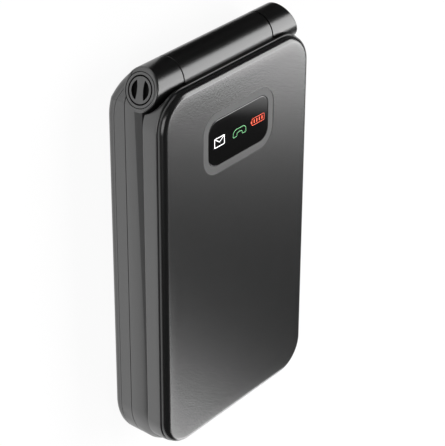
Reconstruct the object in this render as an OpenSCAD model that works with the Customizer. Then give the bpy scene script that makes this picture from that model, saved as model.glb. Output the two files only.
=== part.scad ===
// Flip phone, closed, lying on its back.
// X runs across the width, +Y towards the hinge, +Z from the back to the lid.

/* [Overall] */
// Width across the two long sides
phone_w = 54; // [52:0.5:60]
// Length from the bottom end to the far side of the hinge barrel
phone_l = 106.2; // [104:0.2:116]

/* [Base shells] */
// Thickness of the base, from the back to the keypad face
base_t = 10.8; // [10.5:0.1:12]
// Corner radius of the base's bottom end
base_corner_r = 14; // [10:0.5:15]
// Rounding of the edges round the back
back_edge_r = 2.2; // [1.2:0.1:2.6]
// Radius of the back as it curves up to the hinge, seen from the side
back_arc_r = 16; // [14:0.5:20]
// Height of the chamfer round the keypad face
chamfer_h = 1.9; // [1:0.1:2.4]
// Depth of that chamfer into the sides
chamfer_in = 0.7; // [0.3:0.1:1.2]
// Wall thickness of the housings and the lid
wall = 1.4; // [1.2:0.1:1.6]
// Height of the battery cover's rim
cover_h = 2.75; // [2.5:0.05:3]
// Thickness of the battery cover's back
cover_floor = 1; // [0.8:0.1:1.1]
// Height of the seam between the rear and front housings
split_z = 6.05; // [5.9:0.05:6.2]
// Thickness of the deck above the battery
deck_t = 0.7; // [0.6:0.1:0.9]
// Thickness of the keypad face
face_t = 1.1; // [1:0.1:1.2]

/* [Lid] */
// Gap between the keypad face and the closed lid
lid_gap = 0.4; // [0.35:0.05:0.6]
// Thickness of the lid
lid_t = 6.2; // [6.2:0.1:7.5]
// Thickness of the lid's outer cover
lid_cover_t = 1.83; // [1.6:0.05:2]
// Thickness of the outer cover's face
lid_skin = 1.3; // [1.1:0.1:1.4]
// Width of the rounding along the outer cover's edge
lid_edge_r = 1.9; // [1.2:0.1:2.4]
// Corner radius of the lid
lid_corner_r = 8.7; // [6:0.5:10]
// Step by which the base stands out past the lid at the bottom end
chin = 4.3; // [3:0.1:6]
// Thickness of the lid's inner plate
lid_plate_t = 1.4; // [1.3:0.1:1.6]

/* [Hinge] */
// Radius of the hinge barrel
barrel_r = 4.9; // [4.7:0.1:5]
// Height of the hinge axis
hinge_z = 9.5; // [9.3:0.1:9.7]
// Length of each outer knuckle along the hinge axis
knuckle_l = 9.25; // [8.5:0.05:11]
// Side inset of the base at the hinge axis
end_in = 1.55; // [1.55:0.05:2]
// Angle by which the hinge end tapers in, in degrees
end_angle = 21.7; // [15:0.1:24]
// Gap between a knuckle and the lid's barrel
knuckle_gap = 0.2; // [0.15:0.05:0.4]
// Radius of the hinge bore
hinge_bore_r = 3.65; // [3.5:0.05:3.7]
// Radius of the end caps
cap_r = 4.2; // [4:0.05:4.3]
// Thickness of the end caps
cap_t = 1.4; // [1.2:0.1:1.6]
// Depth of the ring groove and half the width of the bar on a cap
cap_groove = 0.25; // [0.15:0.05:0.4]
// Half the width of the bar between a cap's two slots
cap_bar = 1; // [0.8:0.1:1.2]

/* [Outer window] */
// Width of the window on the lid
window_w = 21.95; // [18:0.5:26]
// Length of the window on the lid
window_l = 12; // [10:0.5:14]
// Corner radius of the window
window_r = 3.05; // [2:0.1:4]
// Width of the smooth ring round the window
bezel_w = 1.9; // [1:0.1:2.5]
// Depth of that ring
bezel_d = 0.15; // [0.1:0.05:0.3]
// Distance from the hinge axis to the window's near edge
window_set = 11.74; // [11:0.1:16]

/* [Keys] */
// Width of the face between the number keys and the base's sides
key_side = 6.3; // [6:0.1:8]
// Length of the plain face between the navigation ring and the hinge axis
face_top = 23.1; // [22:0.1:26]
// Width of the face left between two number keys
key_web = 1.2; // [1:0.1:1.4]
// Corner radius of the keys
key_r = 1.8; // [1:0.1:2.5]
// Travel of a key
key_travel = 0.3; // [0.2:0.05:0.4]
// Thickness of the flange that holds a key under the face
key_flange_t = 0.6; // [0.5:0.05:0.7]
// How far a key stands out of the face
key_proud = 0.1; // [0:0.05:0.15]
// Distance from the bottom end to the lowest row
key_margin = 10.6; // [10:0.2:12]
// Outer radius of the navigation ring
ring_r = 11.5; // [10.5:0.1:12]
// Radius of the centre key
ok_r = 5.2; // [4.5:0.1:5.6]
// Gap between a key and its hole
key_gap = 0.15; // [0.1:0.05:0.25]

/* [Battery and boards] */
// Width of the battery
battery_w = 34; // [30:1:35]
// Length of the bay between the battery and the hinge
rear_bay = 29.05; // [28:0.05:34]
// Thickness of the battery
battery_t = 3.7; // [3:0.1:3.8]
// Thickness of the main board
pcb_t = 0.8; // [0.6:0.1:1]
// Thickness of the lid's board
lid_pcb_t = 0.6; // [0.4:0.1:0.8]

/* [Displays] */
// Width of the lid's face beside the inner display's lens
lens_side = 3.5; // [3:0.1:6]
// Thickness of the inner display's lens
display_lens_t = 0.8; // [0.6:0.1:0.9]
// Width of the black border beside the inner display
display_side = 2.5; // [2:0.1:4]
// Distance from the earpiece to the inner display
display_set = 5.9; // [5:0.1:8]
// Length of the lens between the inner display and the hinge
display_end = 13; // [12:0.5:18]
// Thickness of the inner display
display_t = 1.3; // [1:0.1:1.5]

/* [Sockets and side key] */
// Radius of the headphone socket's bore
jack_bore_r = 1.8; // [1.75:0.01:1.85]
// Width of the charging socket's opening
usb_w = 7.6; // [7:0.1:9]
// Height of the charging socket's opening
usb_h = 2.7; // [2.4:0.1:3]
// Length of the volume key
rocker_l = 16; // [12:1:20]
// Height of the volume key
rocker_h = 1.9; // [1.6:0.1:2]
// How far the volume key stands out of the side
rocker_proud = 0.3; // [0.1:0.05:0.4]

/* [Fasteners and clearances] */
// Radius of a base screw's shank
screw_r = 0.8; // [0.7:0.05:0.9]
// Radius of a base screw's head
screw_head_r = 1.4; // [1.3:0.05:1.5]
// Radius of a lid screw's shank
lid_screw_r = 0.7; // [0.6:0.05:0.8]
// Gap between inner pieces that only lie beside each other
loose = 0.3; // [0.2:0.05:0.35]
// Radial clearance of a running or seated fit
fit = 0.05; // [0.03:0.01:0.08]

/* [Hidden] */
$fn = 64;

// Colours
charcoal = [0.24, 0.24, 0.25];
lid_grey = [0.31, 0.31, 0.32];
gloss_black = [0.05, 0.05, 0.06];
cap_grey = [0.42, 0.42, 0.43];
steel = [0.72, 0.73, 0.75];
board_green = [0.10, 0.32, 0.20];
rubber_black = [0.10, 0.10, 0.10];
copper = [0.75, 0.45, 0.22];
key_grey = [0.16, 0.16, 0.17];

// Places along the length
base_y0 = -phone_l / 2;
end_y = phone_l / 2;
hinge_y = end_y - barrel_r;
lid_y0 = base_y0 + chin;
lid_set = 0.13;
lid_y1 = hinge_y - lid_set;
arc_y = hinge_y - sqrt(pow(back_arc_r - barrel_r, 2) - pow(back_arc_r - hinge_z, 2));
tangent_y = arc_y + back_arc_r * (hinge_y - arc_y) / (back_arc_r - barrel_r);
cover_y1 = hinge_y - 0.9;
lip_y1 = hinge_y + 0.5;

// Places across the width
knuckle_proud = 0.05;
half_w = phone_w / 2;
end_x = half_w - end_in;
seam_x = end_x - knuckle_l;
barrel_x = seam_x - knuckle_gap;
inner_x = half_w - wall;
far = phone_l + phone_w;

// Heights in the base, counted down from the keypad face
plate_z = base_t - face_t;
flange_top = plate_z - 0.1;
flange_z = flange_top - key_flange_t;
membrane_t = 0.4;
membrane_top = flange_z - key_travel - 0.1;
membrane_z = membrane_top - membrane_t;
plunger_h = 0.2;
dome_h = 0.2;
dome_sheet_t = 0.1;
pcb_top = membrane_z - plunger_h - fit - dome_h - dome_sheet_t;
pcb_z = pcb_top - pcb_t;
deck_z = split_z - deck_t;
battery_z = deck_z - battery_t - loose / 1.5;

// Heights in the lid
lid_z0 = base_t + lid_gap;
lid_z1 = lid_z0 + lid_t;
lid_seam_z = lid_z1 - lid_cover_t;
lid_plate_z = lid_z0 + lid_plate_t;
lid_skin_z = lid_z1 - lid_skin;
display_z1 = lid_plate_z + display_t;
lens_z1 = lid_z1 - bezel_d;
lens_z0 = lid_skin_z - fit;
lid_pcb_z = lid_plate_z + 0.8;

// Hinge clearances
barrel_clear = barrel_r + 0.35;
ring_out = barrel_clear + 1;
scoop_r = barrel_r + 0.7;
scoop_wall_r = scoop_r + 1;
pocket_r = cap_r + 0.1;
bore_end_x = end_x - hinge_bore_r * tan(end_angle) - cap_t / cos(end_angle) - 0.5;
shaft_head_r = 2.4;
shaft_r = 1.1;
case_r = hinge_bore_r - fit;
case_cavity_r = case_r - 0.6;
case_mouth_t = 0.3;

// Screws and columns
column_r = 1.7;
column_x = inner_x - column_r - 0.5;
column_end = 16;
column_ys = [base_y0 + column_end, (base_y0 + hinge_y) / 2 + 2, hinge_y - column_end];
screw_seat_z = cover_h + 1.45;
lid_boss_r = 1.8;
lid_screw_x = half_w - lid_corner_r + 0.7;
lid_screw_ys = [lid_y0 + wall + 2.2, hinge_y - 10.7];
lid_seat_z = lid_plate_z - 0.2;
lid_boss_z = lid_plate_z + 0.6;
bumper_x = 10;

// Keypad
columns = 3;
rows = 4;
key_flange = (key_web - 0.2) / 2;
nav_y = hinge_y - face_top - ring_r;
keys_y0 = base_y0 + key_margin;
keys_y1 = nav_y - ring_r - 2 * key_flange - 0.8;
key_w = (phone_w - 2 * key_side - (columns - 1) * key_web) / columns;
key_l = (keys_y1 - keys_y0 - (rows - 1) * key_web) / rows;
key_pitch_x = key_w + key_web;
key_pitch_y = key_l + key_web;
row_y0 = keys_y0 + key_l / 2;
side_key_x0 = ring_r + 2 * key_flange + 0.4;
side_key_x1 = key_pitch_x + key_w / 2;
side_key_w = side_key_x1 - side_key_x0;
side_key_l = ring_r - 1;
side_key_x = (side_key_x0 + side_key_x1) / 2;
side_key_dy = side_key_l / 2 + 0.75;
ring_in_r = ok_r + 0.4;
keypad_y1 = nav_y + ring_r + key_flange + 0.6;
digits = [for (row = [0:rows - 1]) for (col = [-1:1]) [col * key_pitch_x, row_y0 + row * key_pitch_y]];
side_keys = [for (sx = [-1, 1]) for (sy = [-1, 1]) [sx * side_key_x, nav_y + sy * side_key_dy]];
ring_spots = [for (a = [0:90:270]) [0.75 * ring_r * cos(a), nav_y + 0.75 * ring_r * sin(a)]];
press_spots = concat(digits, side_keys, ring_spots, [[0, nav_y]]);

// Inside the base
jack_l = 11;
battery_y0 = base_y0 + wall + jack_l + 1.6;
battery_y1 = hinge_y - ring_out - rear_bay;
battery_y = (battery_y0 + battery_y1) / 2;
battery_l = battery_y1 - battery_y0;
window_y = hinge_y - window_set - window_l / 2;
rear_y = battery_y1 + rear_bay / 2;
speaker_x = -12;
camera_x = 12;
camera_r = 3.6;
motor_x = 0;
antenna_l = 5;
antenna_w = 2 * (column_x - column_r - 2.7);
antenna_y = hinge_y - ring_out - antenna_l / 2 - loose;
jack_x = 9;
jack_w = 6;
jack_h = 4.6;
jack_z = pcb_top - jack_h / 2;
jack_nose_r = jack_bore_r + 0.5;
jack_bore_l = wall + jack_l - 0.8;
usb_z = pcb_z + pcb_t / 2 - 0.25;
usb_l = 5;
rocker_y = (column_ys[1] + column_ys[2]) / 2;
rocker_lip = 0.8;
rocker_z = split_z + 1.4;

// Inside the lid
display_lens_w = phone_w - 2 * lens_side;
display_lens_y0 = lid_y0 + wall + 4.6;
display_lens_y1 = hinge_y - 13.5;
display_lens_y = (display_lens_y0 + display_lens_y1) / 2;
display_lens_l = display_lens_y1 - display_lens_y0;
earpiece_w = 12;
earpiece_l = 4.6;
ear_slot_w = 8;
ear_slot_l = 1.2;
earpiece_y = display_lens_y0 + 1.6;
display_y0 = earpiece_y + display_set;
display_y1 = display_lens_y1 - display_end;
display_y = (display_y0 + display_y1) / 2;
display_l = display_y1 - display_y0;
display_w = display_lens_w - 2 * display_side;

// ---- Shared shapes ----

// Rounded rectangle about its centre
module rounded(w, l, r) {
    square([w - 2 * r, l], center = true);
    square([w, l - 2 * r], center = true);
    for (sx = [-1, 1], sy = [-1, 1])
        translate([sx * (w / 2 - r), sy * (l / 2 - r)]) circle(r = r);
}

// Upright block of a rounded rectangle, from z0 to z1
module pad(w, l, r, z0, z1, x = 0, y = 0) {
    translate([x, y, z0]) linear_extrude(z1 - z0) rounded(w, l, r);
}

// Plain block about (x, y), from z0 to z1
module block(w, l, z0, z1, x = 0, y = 0) {
    translate([x - w / 2, y - l / 2, z0]) cube([w, l, z1 - z0]);
}

// Upright cylinder from z0 to z1
module post(r, z0, z1, x = 0, y = 0) {
    translate([x, y, z0]) cylinder(r = r, h = z1 - z0);
}

// Extrudes a side view, drawn as (Y, Z), across the width from x0 to x1
module across(x0, x1) {
    translate([x0, 0, 0]) rotate([90, 0, 90]) linear_extrude(x1 - x0) children();
}

// Cylinder on the hinge axis from x0 to x1
module axle(r, x0, x1) {
    translate([x0, hinge_y, hinge_z]) rotate([0, 90, 0]) cylinder(r = r, h = x1 - x0);
}

// Places its children at a barrel end, with +Z out of the slanted end face
module at_end(side) {
    mirror([side < 0 ? 1 : 0, 0, 0])
        translate([end_x, hinge_y, hinge_z])
            rotate([0, 0, end_angle]) rotate([0, 90, 0]) children();
}

// Plan of the base, set in by inset, tapering towards the hinge
module base_plan(inset = 0) {
    slant = inset / cos(end_angle);
    x1 = half_w - inset;
    y_taper = hinge_y + (end_x - slant - x1) / tan(end_angle);
    x_end = end_x - slant - (end_y - hinge_y) * tan(end_angle);
    y_low = base_y0 + base_corner_r;
    for (s = [-1, 1])
        translate([s * (half_w - base_corner_r), y_low]) circle(r = base_corner_r - inset);
    translate([base_corner_r - half_w, base_y0 + inset])
        square([phone_w - 2 * base_corner_r, base_corner_r]);
    polygon([[-x1, y_low], [x1, y_low], [x1, y_taper], [x_end, end_y],
        [-x_end, end_y], [-x1, y_taper]]);
}

// Side view of all that lies above the back, raised by dz
module above_back(dz) {
    translate([-far, dz]) square([far + arc_y, 2 * back_arc_r]);
    translate([arc_y, back_arc_r + dz]) circle(r = back_arc_r, $fn = 180);
}

// The base's outer block with its rounded back edges and its chamfer
module base_block() {
    steps = 3;
    hull() {
        for (k = [0:steps])
            let (a = 90 * k / steps)
                translate([0, 0, back_edge_r * (1 - sin(a))])
                    linear_extrude(0.01) base_plan(back_edge_r * (1 - cos(a)), $fn = 32);
        translate([0, 0, base_t - chamfer_h]) linear_extrude(0.01) base_plan($fn = 32);
        translate([0, 0, base_t - 0.01]) linear_extrude(0.01) base_plan(chamfer_in, $fn = 32);
    }
}

// The outside of the base with its two knuckles
module base_outside() {
    intersection() {
        base_block();
        across(-far, far) intersection() {
            above_back(0);
            translate([-far, 0]) square([far + tangent_y, base_t]);
        }
    }
    intersection() {
        axle(barrel_r, -half_w, half_w);
        linear_extrude(hinge_z + 2 * barrel_r) base_plan(-knuckle_proud);
    }
}

// The room round the lid's barrel between the two knuckles
module barrel_room() {
    axle(barrel_clear, -seam_x, seam_x);
    translate([-seam_x, lip_y1, -1]) cube([2 * seam_x, barrel_r + 2, hinge_z + 2 * barrel_r]);
}

// The hollow inside the housings from z0 to z1, clear of the hinge
module hollow(z0, z1) {
    difference() {
        translate([0, 0, z0]) linear_extrude(z1 - z0) base_plan(wall);
        axle(ring_out, -half_w, half_w);
    }
}

// The bores and cap pockets of the knuckles
module knuckle_bores() {
    axle(hinge_bore_r, -bore_end_x, bore_end_x);
    for (side = [-1, 1])
        at_end(side) translate([0, 0, -cap_t]) cylinder(r = pocket_r, h = 2 * cap_t + barrel_r);
}

// What the battery cover fills, round the back
module cover_zone() {
    difference() {
        across(-far, far) difference() {
            translate([-far, -1]) square([far + cover_y1, 2 * cover_h + hinge_z]);
            above_back(cover_h);
        }
        axle(barrel_r + fit, -half_w, half_w);
        intersection() {
            axle(ring_out, -half_w, half_w);
            translate([0, 0, -1]) linear_extrude(hinge_z) base_plan(wall);
        }
    }
}

// ---- Base shells ----

module battery_cover() {
    slot_w = 9;
    slot_l = 0.8;
    slot_pitch = 1.7;
    color(charcoal) difference() {
        intersection() {
            base_outside();
            cover_zone();
        }
        intersection() {
            translate([0, 0, -1]) linear_extrude(hinge_z) base_plan(wall);
            across(-far, far) above_back(cover_floor);
        }
        for (k = [-2:2])
            pad(slot_w, slot_l, 0.39, -1, cover_floor + 1, speaker_x, rear_y + k * slot_pitch);
        post(camera_r + fit, -1, cover_floor + 1, camera_x, rear_y);
    }
}

module rear_housing() {
    rib = 1;
    room_w = battery_w + 2 * loose;
    room_l = battery_l + 2 * loose;
    color(charcoal) difference() {
        union() {
            difference() {
                intersection() {
                    base_outside();
                    translate([-far, -far, -1]) cube([2 * far, 2 * far, split_z + 1]);
                }
                cover_zone();
                hollow(-1, deck_z);
            }
            difference() {
                block(room_w + 2 * rib, room_l + 2 * rib, battery_z + loose, deck_z + 0.1, 0, battery_y);
                block(room_w, room_l, 0, deck_z, 0, battery_y);
            }
            for (s = [-1, 1], y = column_ys)
                post(column_r, cover_h, pcb_z, s * column_x, y);
        }
        barrel_room();
        knuckle_bores();
        for (s = [-1, 1], y = column_ys) {
            post(screw_r + 0.15, 0, base_t, s * column_x, y);
            post(screw_head_r + 0.1, 0, screw_seat_z, s * column_x, y);
        }
        block(contact_w + 0.4, contact_l + 0.4, 0, base_t, 0, contact_y);
        block(contact_w - 1, 2 * rib, 0, deck_z, 0, battery_y1 + loose + rib / 2);
        block(sim_w + 0.4, sim_l + 0.4, 0, base_t, -card_x, card_y);
        block(card_w + 0.4, card_l + 0.4, 0, base_t, card_x, card_y);
        block(camera_w + 0.4, camera_w + 0.4, 0, base_t, camera_x, rear_y);
        jack_room();
        usb_room();
    }
}

module front_housing() {
    color(charcoal) difference() {
        union() {
            difference() {
                intersection() {
                    base_outside();
                    translate([-far, -far, split_z]) cube([2 * far, 2 * far, far]);
                }
                hollow(0, plate_z);
            }
            for (s = [-1, 1], y = column_ys)
                post(column_r, pcb_top, plate_z + 0.1, s * column_x, y);
        }
        barrel_room();
        knuckle_bores();
        for (s = [-1, 1], y = column_ys)
            post(screw_r + 0.02, 0, plate_z + 0.2, s * column_x, y);
        for (p = digits)
            pad(key_w + 2 * key_gap, key_l + 2 * key_gap, key_r, 0, far, p[0], p[1]);
        for (p = side_keys)
            pad(side_key_w + 2 * key_gap, side_key_l + 2 * key_gap, key_r, 0, far, p[0], p[1]);
        post(ring_r + key_gap, 0, far, 0, nav_y);
        block(2 * wall, rocker_l + 0.5, rocker_z - rocker_h / 2 - 0.25,
            rocker_z + rocker_h / 2 + 0.25, half_w, rocker_y);
        translate([mic_x, base_y0 - 1, mic_z]) rotate([-90, 0, 0]) cylinder(r = 0.5, h = wall + 2);
        jack_room();
        usb_room();
        flex_room();
    }
}

// The hole for the headphone socket's nose and the room for its body
module jack_room() {
    translate([jack_x, base_y0 - 1, jack_z])
        rotate([-90, 0, 0]) cylinder(r = jack_nose_r + fit, h = wall + 2);
    block(jack_w + 0.4, jack_l + 0.3, 0, pcb_top, jack_x, base_y0 + wall + jack_l / 2 + 0.15);
}

// The opening for the charging socket
module usb_room() {
    block(usb_w + 0.2, 2 * (usb_l + 0.7), usb_z - usb_h / 2 - 0.1, usb_z + usb_h / 2 + 0.1, 0, base_y0);
}

// The slot by which the flex cable enters the right knuckle
flex_x = (seam_x + bore_end_x) / 2;
flex_w = 3.6;
flex_t = 0.2;
flex_z = pcb_top + 0.5;
module flex_room() {
    translate([flex_x - flex_w / 2 - 0.3, hinge_y - ring_out - 1, flex_z - 0.2])
        cube([flex_w + 0.6, ring_out, flex_t + 0.4]);
}

// ---- Keypad ----

module keypad_membrane() {
    y0 = row_y0 - key_l / 2 - key_flange - 0.3;
    color(rubber_black) {
        pad(2 * side_key_x1 + 2 * key_flange + 0.6, keypad_y1 - y0, 1.5,
            membrane_z, membrane_top, 0, (keypad_y1 + y0) / 2);
        for (p = press_spots) post(1.2, membrane_z - plunger_h, membrane_z + 0.1, p[0], p[1]);
    }
}

module dome_sheet() {
    y0 = row_y0 - key_l / 2;
    color(steel) {
        pad(2 * side_key_x1, keypad_y1 - 1 - y0, 1.5,
            pcb_top, pcb_top + dome_sheet_t, 0, (keypad_y1 - 1 + y0) / 2);
        for (p = press_spots) post(2, pcb_top, pcb_top + dome_sheet_t + dome_h, p[0], p[1]);
    }
}

// A keycap with the flange that keeps it under the face
module keycap(w, l, x, y) {
    color(key_grey) {
        pad(w, l, key_r, flange_z, base_t + key_proud, x, y);
        pad(w + 2 * key_flange, l + 2 * key_flange, key_r, flange_z, flange_top, x, y);
    }
}

// A number key by its column, from the left, and its row, from the bottom
module number_key(col, row) {
    keycap(key_w, key_l, (col - 1) * key_pitch_x, row_y0 + row * key_pitch_y);
}

// One of the four keys beside the ring
module side_key(sx, sy) {
    keycap(side_key_w, side_key_l, sx * side_key_x, nav_y + sy * side_key_dy);
}

module key_star() number_key(0, 0);
module key_0() number_key(1, 0);
module key_hash() number_key(2, 0);
module key_7() number_key(0, 1);
module key_8() number_key(1, 1);
module key_9() number_key(2, 1);
module key_4() number_key(0, 2);
module key_5() number_key(1, 2);
module key_6() number_key(2, 2);
module key_1() number_key(0, 3);
module key_2() number_key(1, 3);
module key_3() number_key(2, 3);
module key_call() side_key(-1, -1);
module key_end() side_key(1, -1);
module key_soft_left() side_key(-1, 1);
module key_soft_right() side_key(1, 1);

// The ring rocks, so its flange lies lower and its top stays under the face
module nav_ring() {
    color(steel) difference() {
        union() {
            post(ring_r, flange_z, base_t - 0.1, 0, nav_y);
            post(ring_r + key_flange, flange_z, flange_z + key_flange_t / 2, 0, nav_y);
        }
        post(ring_in_r, 0, base_t, 0, nav_y);
    }
}

module key_ok() {
    color(key_grey) post(ok_r, flange_z, base_t + key_proud, 0, nav_y);
}

// ---- Inside the base ----

contact_w = 9;
contact_l = 3;
contact_y = battery_y1 + loose + 1 + contact_l / 2 + 0.4;
sim_w = 13.5;
sim_l = 15;
card_w = 12.5;
card_l = 14;
card_x = 8;
card_y = battery_y - 8;
camera_w = 7.5;
mic_x = -9;
mic_z = pcb_top + 0.7;

module battery() {
    color([0.20, 0.22, 0.25])
        pad(battery_w, battery_l, 1.5, battery_z, battery_z + battery_t, 0, battery_y);
}

module battery_contacts() {
    finger = 0.8;
    color([0.9, 0.75, 0.4]) {
        block(contact_w, contact_l, battery_z + 0.6, pcb_z, 0, contact_y);
        for (k = [-1:1])
            translate([k * 3 - finger / 2, battery_y1 + 0.1, battery_z + 1.4])
                cube([finger, contact_y - battery_y1 - 0.1, 0.9]);
    }
}

// A holder's metal shell, open at the end towards the hinge
module card_cage(w, l, x, y) {
    skin = 0.25;
    h = pcb_z - deck_z - 0.05;
    color(steel) difference() {
        block(w, l, pcb_z - h, pcb_z, x, y);
        block(w - 2 * skin, l, pcb_z - h + skin, pcb_z - skin, x, y + skin);
    }
}

module sim_holder() card_cage(sim_w, sim_l, -card_x, card_y);
module memory_card_holder() card_cage(card_w, card_l, card_x, card_y);

module main_pcb() {
    y1 = hinge_y - ring_out - 1;
    color(board_green) difference() {
        intersection() {
            translate([0, 0, pcb_z]) linear_extrude(pcb_t) base_plan(wall + loose);
            translate([-far, -far, 0]) cube([2 * far, far + y1, far]);
        }
        for (s = [-1, 1], y = column_ys) post(screw_r + 0.2, 0, base_t, s * column_x, y);
        block(usb_w + 0.4, 2 * (usb_l + wall), 0, base_t, 0, base_y0);
        block(jack_w + 0.4, 2 * (jack_l + wall + 0.3), 0, base_t, jack_x, base_y0);
        block(2 * (wall + 2.1), rocker_l + 2 * rocker_lip + 0.8, 0, base_t, half_w, rocker_y);
    }
}

module shield_cans() {
    skin = 0.3;
    can_x0 = column_r + 0.6 - column_x;
    can_x1 = flex_x - flex_w / 2 - 6.4;
    can_gap = 2;
    can_w = (can_x1 - can_x0 - can_gap) / 2;
    can_l = 10;
    can_h = plate_z - pcb_top - loose;
    can_y = keypad_y1 + 1.4 + can_l / 2;
    color(steel) for (x = [can_x0 + can_w / 2, can_x1 - can_w / 2])
        difference() {
            block(can_w, can_l, pcb_top, pcb_top + can_h, x, can_y);
            block(can_w - 2 * skin, can_l - 2 * skin, 0, pcb_top + can_h - skin, x, can_y);
        }
}

module loudspeaker() {
    w = 14;
    l = 10.5;
    h = 2.6;
    rim = 1.5;
    color([0.15, 0.15, 0.16]) difference() {
        pad(w, l, 1.2, deck_z - h, deck_z, speaker_x, rear_y);
        pad(w - 2 * rim, l - 2 * rim, 1, 0, deck_z - h + 0.5, speaker_x, rear_y);
    }
}

module microphone() {
    color(steel) block(4, 3, pcb_top, pcb_top + 1.2, mic_x, base_y0 + wall + loose + 1.8);
}

module usb_port() {
    skin = 0.3;
    color(steel) difference() {
        block(usb_w, usb_l, usb_z - usb_h / 2, usb_z + usb_h / 2, 0, base_y0 + 0.5 + usb_l / 2);
        difference() {
            block(usb_w - 2 * skin, 2 * (usb_l - skin), usb_z - usb_h / 2 + skin,
                usb_z + usb_h / 2 - skin, 0, base_y0 + 0.5);
            block(usb_w - 3, usb_l, usb_z - 0.3, usb_z + 0.3, 0, base_y0 + 1 + usb_l / 2);
        }
    }
}

module headphone_jack() {
    color(gloss_black) difference() {
        union() {
            block(jack_w, jack_l - 0.1, jack_z - jack_h / 2, jack_z + jack_h / 2,
                jack_x, base_y0 + wall + 0.1 + (jack_l - 0.1) / 2);
            translate([jack_x, base_y0, jack_z])
                rotate([-90, 0, 0]) cylinder(r = jack_nose_r, h = wall + 1);
        }
        translate([jack_x, base_y0 - 1, jack_z])
            rotate([-90, 0, 0]) cylinder(r = jack_bore_r, h = 1 + jack_bore_l);
    }
}

module camera_module() {
    snout_r = 2.6;
    lens_r = 1.6;
    body_z = pcb_z - 3.4;
    color(gloss_black) difference() {
        union() {
            block(camera_w, camera_w, body_z, pcb_z, camera_x, rear_y);
            post(snout_r, cover_floor + loose, body_z + 0.1, camera_x, rear_y);
        }
        post(lens_r, 0, cover_floor + 1, camera_x, rear_y);
    }
}

module camera_window() {
    color(gloss_black) post(camera_r, 0.15, cover_floor, camera_x, rear_y);
}

module vibration_motor() {
    motor_r = 4;
    motor_h = 2.6;
    color(steel) post(motor_r, deck_z - motor_h, deck_z, motor_x, rear_y);
}

module antenna() {
    end_strip = 3;
    strip = 2.5;
    slot_w = (antenna_w - 2 * end_strip - 2 * strip) / 3;
    color(copper) difference() {
        block(antenna_w, antenna_l, deck_z - 2, deck_z, 0, antenna_y);
        for (k = [-1:1]) block(slot_w, 2, 0, deck_z - 1.4, k * (slot_w + strip), antenna_y);
    }
}

module base_screws() {
    color(steel) for (s = [-1, 1], y = column_ys)
        difference() {
            union() {
                post(screw_head_r, screw_seat_z - 0.9, screw_seat_z, s * column_x, y);
                post(screw_r, screw_seat_z - 0.1, plate_z - 0.3, s * column_x, y);
            }
            block(2, 0.4, 0, screw_seat_z - 0.5, s * column_x, y);
            block(0.4, 2, 0, screw_seat_z - 0.5, s * column_x, y);
        }
}

// ---- Hinge ----

cap_ring_r = cap_r * 0.775;
cap_slot_r = cap_r * 0.55;
module end_cap(side) {
    lean = 10;
    color(cap_grey) at_end(side) difference() {
        union() {
            translate([0, 0, fit - cap_t]) cylinder(r = cap_r, h = cap_t - fit);
            translate([0, 0, -0.1]) cylinder(r = cap_ring_r - 0.2, h = 0.1 + cap_groove / 2);
        }
        translate([0, 0, -cap_groove]) difference() {
            cylinder(r = cap_ring_r + 0.1, h = cap_t);
            translate([0, 0, -1]) cylinder(r = cap_ring_r - 0.2, h = cap_t + 2);
        }
        translate([0, 0, -0.9]) rotate([0, 0, lean]) difference() {
            cylinder(r = cap_slot_r, h = cap_t);
            translate([-far, -cap_bar, -1]) cube([2 * far, 2 * cap_bar, cap_t + 2]);
        }
    }
}

module hinge_cap_left() end_cap(-1);
module hinge_cap_right() end_cap(1);

case_x1 = -seam_x - 0.1;
case_x0 = -bore_end_x + 0.1;
cam_t = 1;
cam_x1 = case_x1 - case_mouth_t - 0.1;
follower_x1 = cam_x1 - cam_t - 0.1;
spring_x1 = follower_x1 - cam_t - 0.1;
spring_x0 = case_x0 + 0.7;

module hinge_case() {
    color(steel) difference() {
        axle(case_r, case_x0, case_x1);
        axle(case_cavity_r, case_x0 + 0.6, case_x1 - case_mouth_t);
        axle(shaft_head_r + fit, case_x0 + 0.6, far);
    }
}

module hinge_follower() {
    color(steel) difference() {
        axle(case_cavity_r - fit, follower_x1 - cam_t, follower_x1);
        axle(shaft_r + fit, -far, far);
    }
}

// Helical spring between the case's end and the follower
module hinge_spring() {
    wire_r = 0.25;
    coil_r = case_cavity_r - wire_r - 0.15;
    turns = 3;
    sides = 8;
    steps = 14 * turns;
    run = spring_x1 - spring_x0 - 2 * wire_r;
    points = [for (i = [0:steps], j = [0:sides - 1])
        let (a = 360 * turns * i / steps, b = 360 * j / sides, r = coil_r + wire_r * cos(b))
            [run * i / steps + wire_r * sin(b), r * cos(a), r * sin(a)]];
    walls = [for (i = [0:steps - 1], j = [0:sides - 1])
        let (k = (j + 1) % sides)
            [i * sides + j, i * sides + k, (i + 1) * sides + k, (i + 1) * sides + j]];
    start_face = [for (j = [sides - 1:-1:0]) j];
    end_face = [for (j = [0:sides - 1]) steps * sides + j];
    color(steel) translate([spring_x0 + wire_r, hinge_y, hinge_z])
        polyhedron(points, concat([start_face], walls, [end_face]), convexity = 6);
}

// Hollow bush that carries the lid's barrel at the right and lets the flex cable through
bush_x0 = barrel_x - 3;
bush_in_r = 2.5;
module hinge_bush() {
    color(gloss_black) difference() {
        axle(case_r, bush_x0, bore_end_x - 0.1);
        axle(bush_in_r, -far, far);
        translate([flex_x - flex_w / 2 - 0.3, hinge_y - barrel_r, flex_z - 0.2])
            cube([flex_w + 0.6, barrel_r, flex_t + 0.4]);
    }
}

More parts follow.
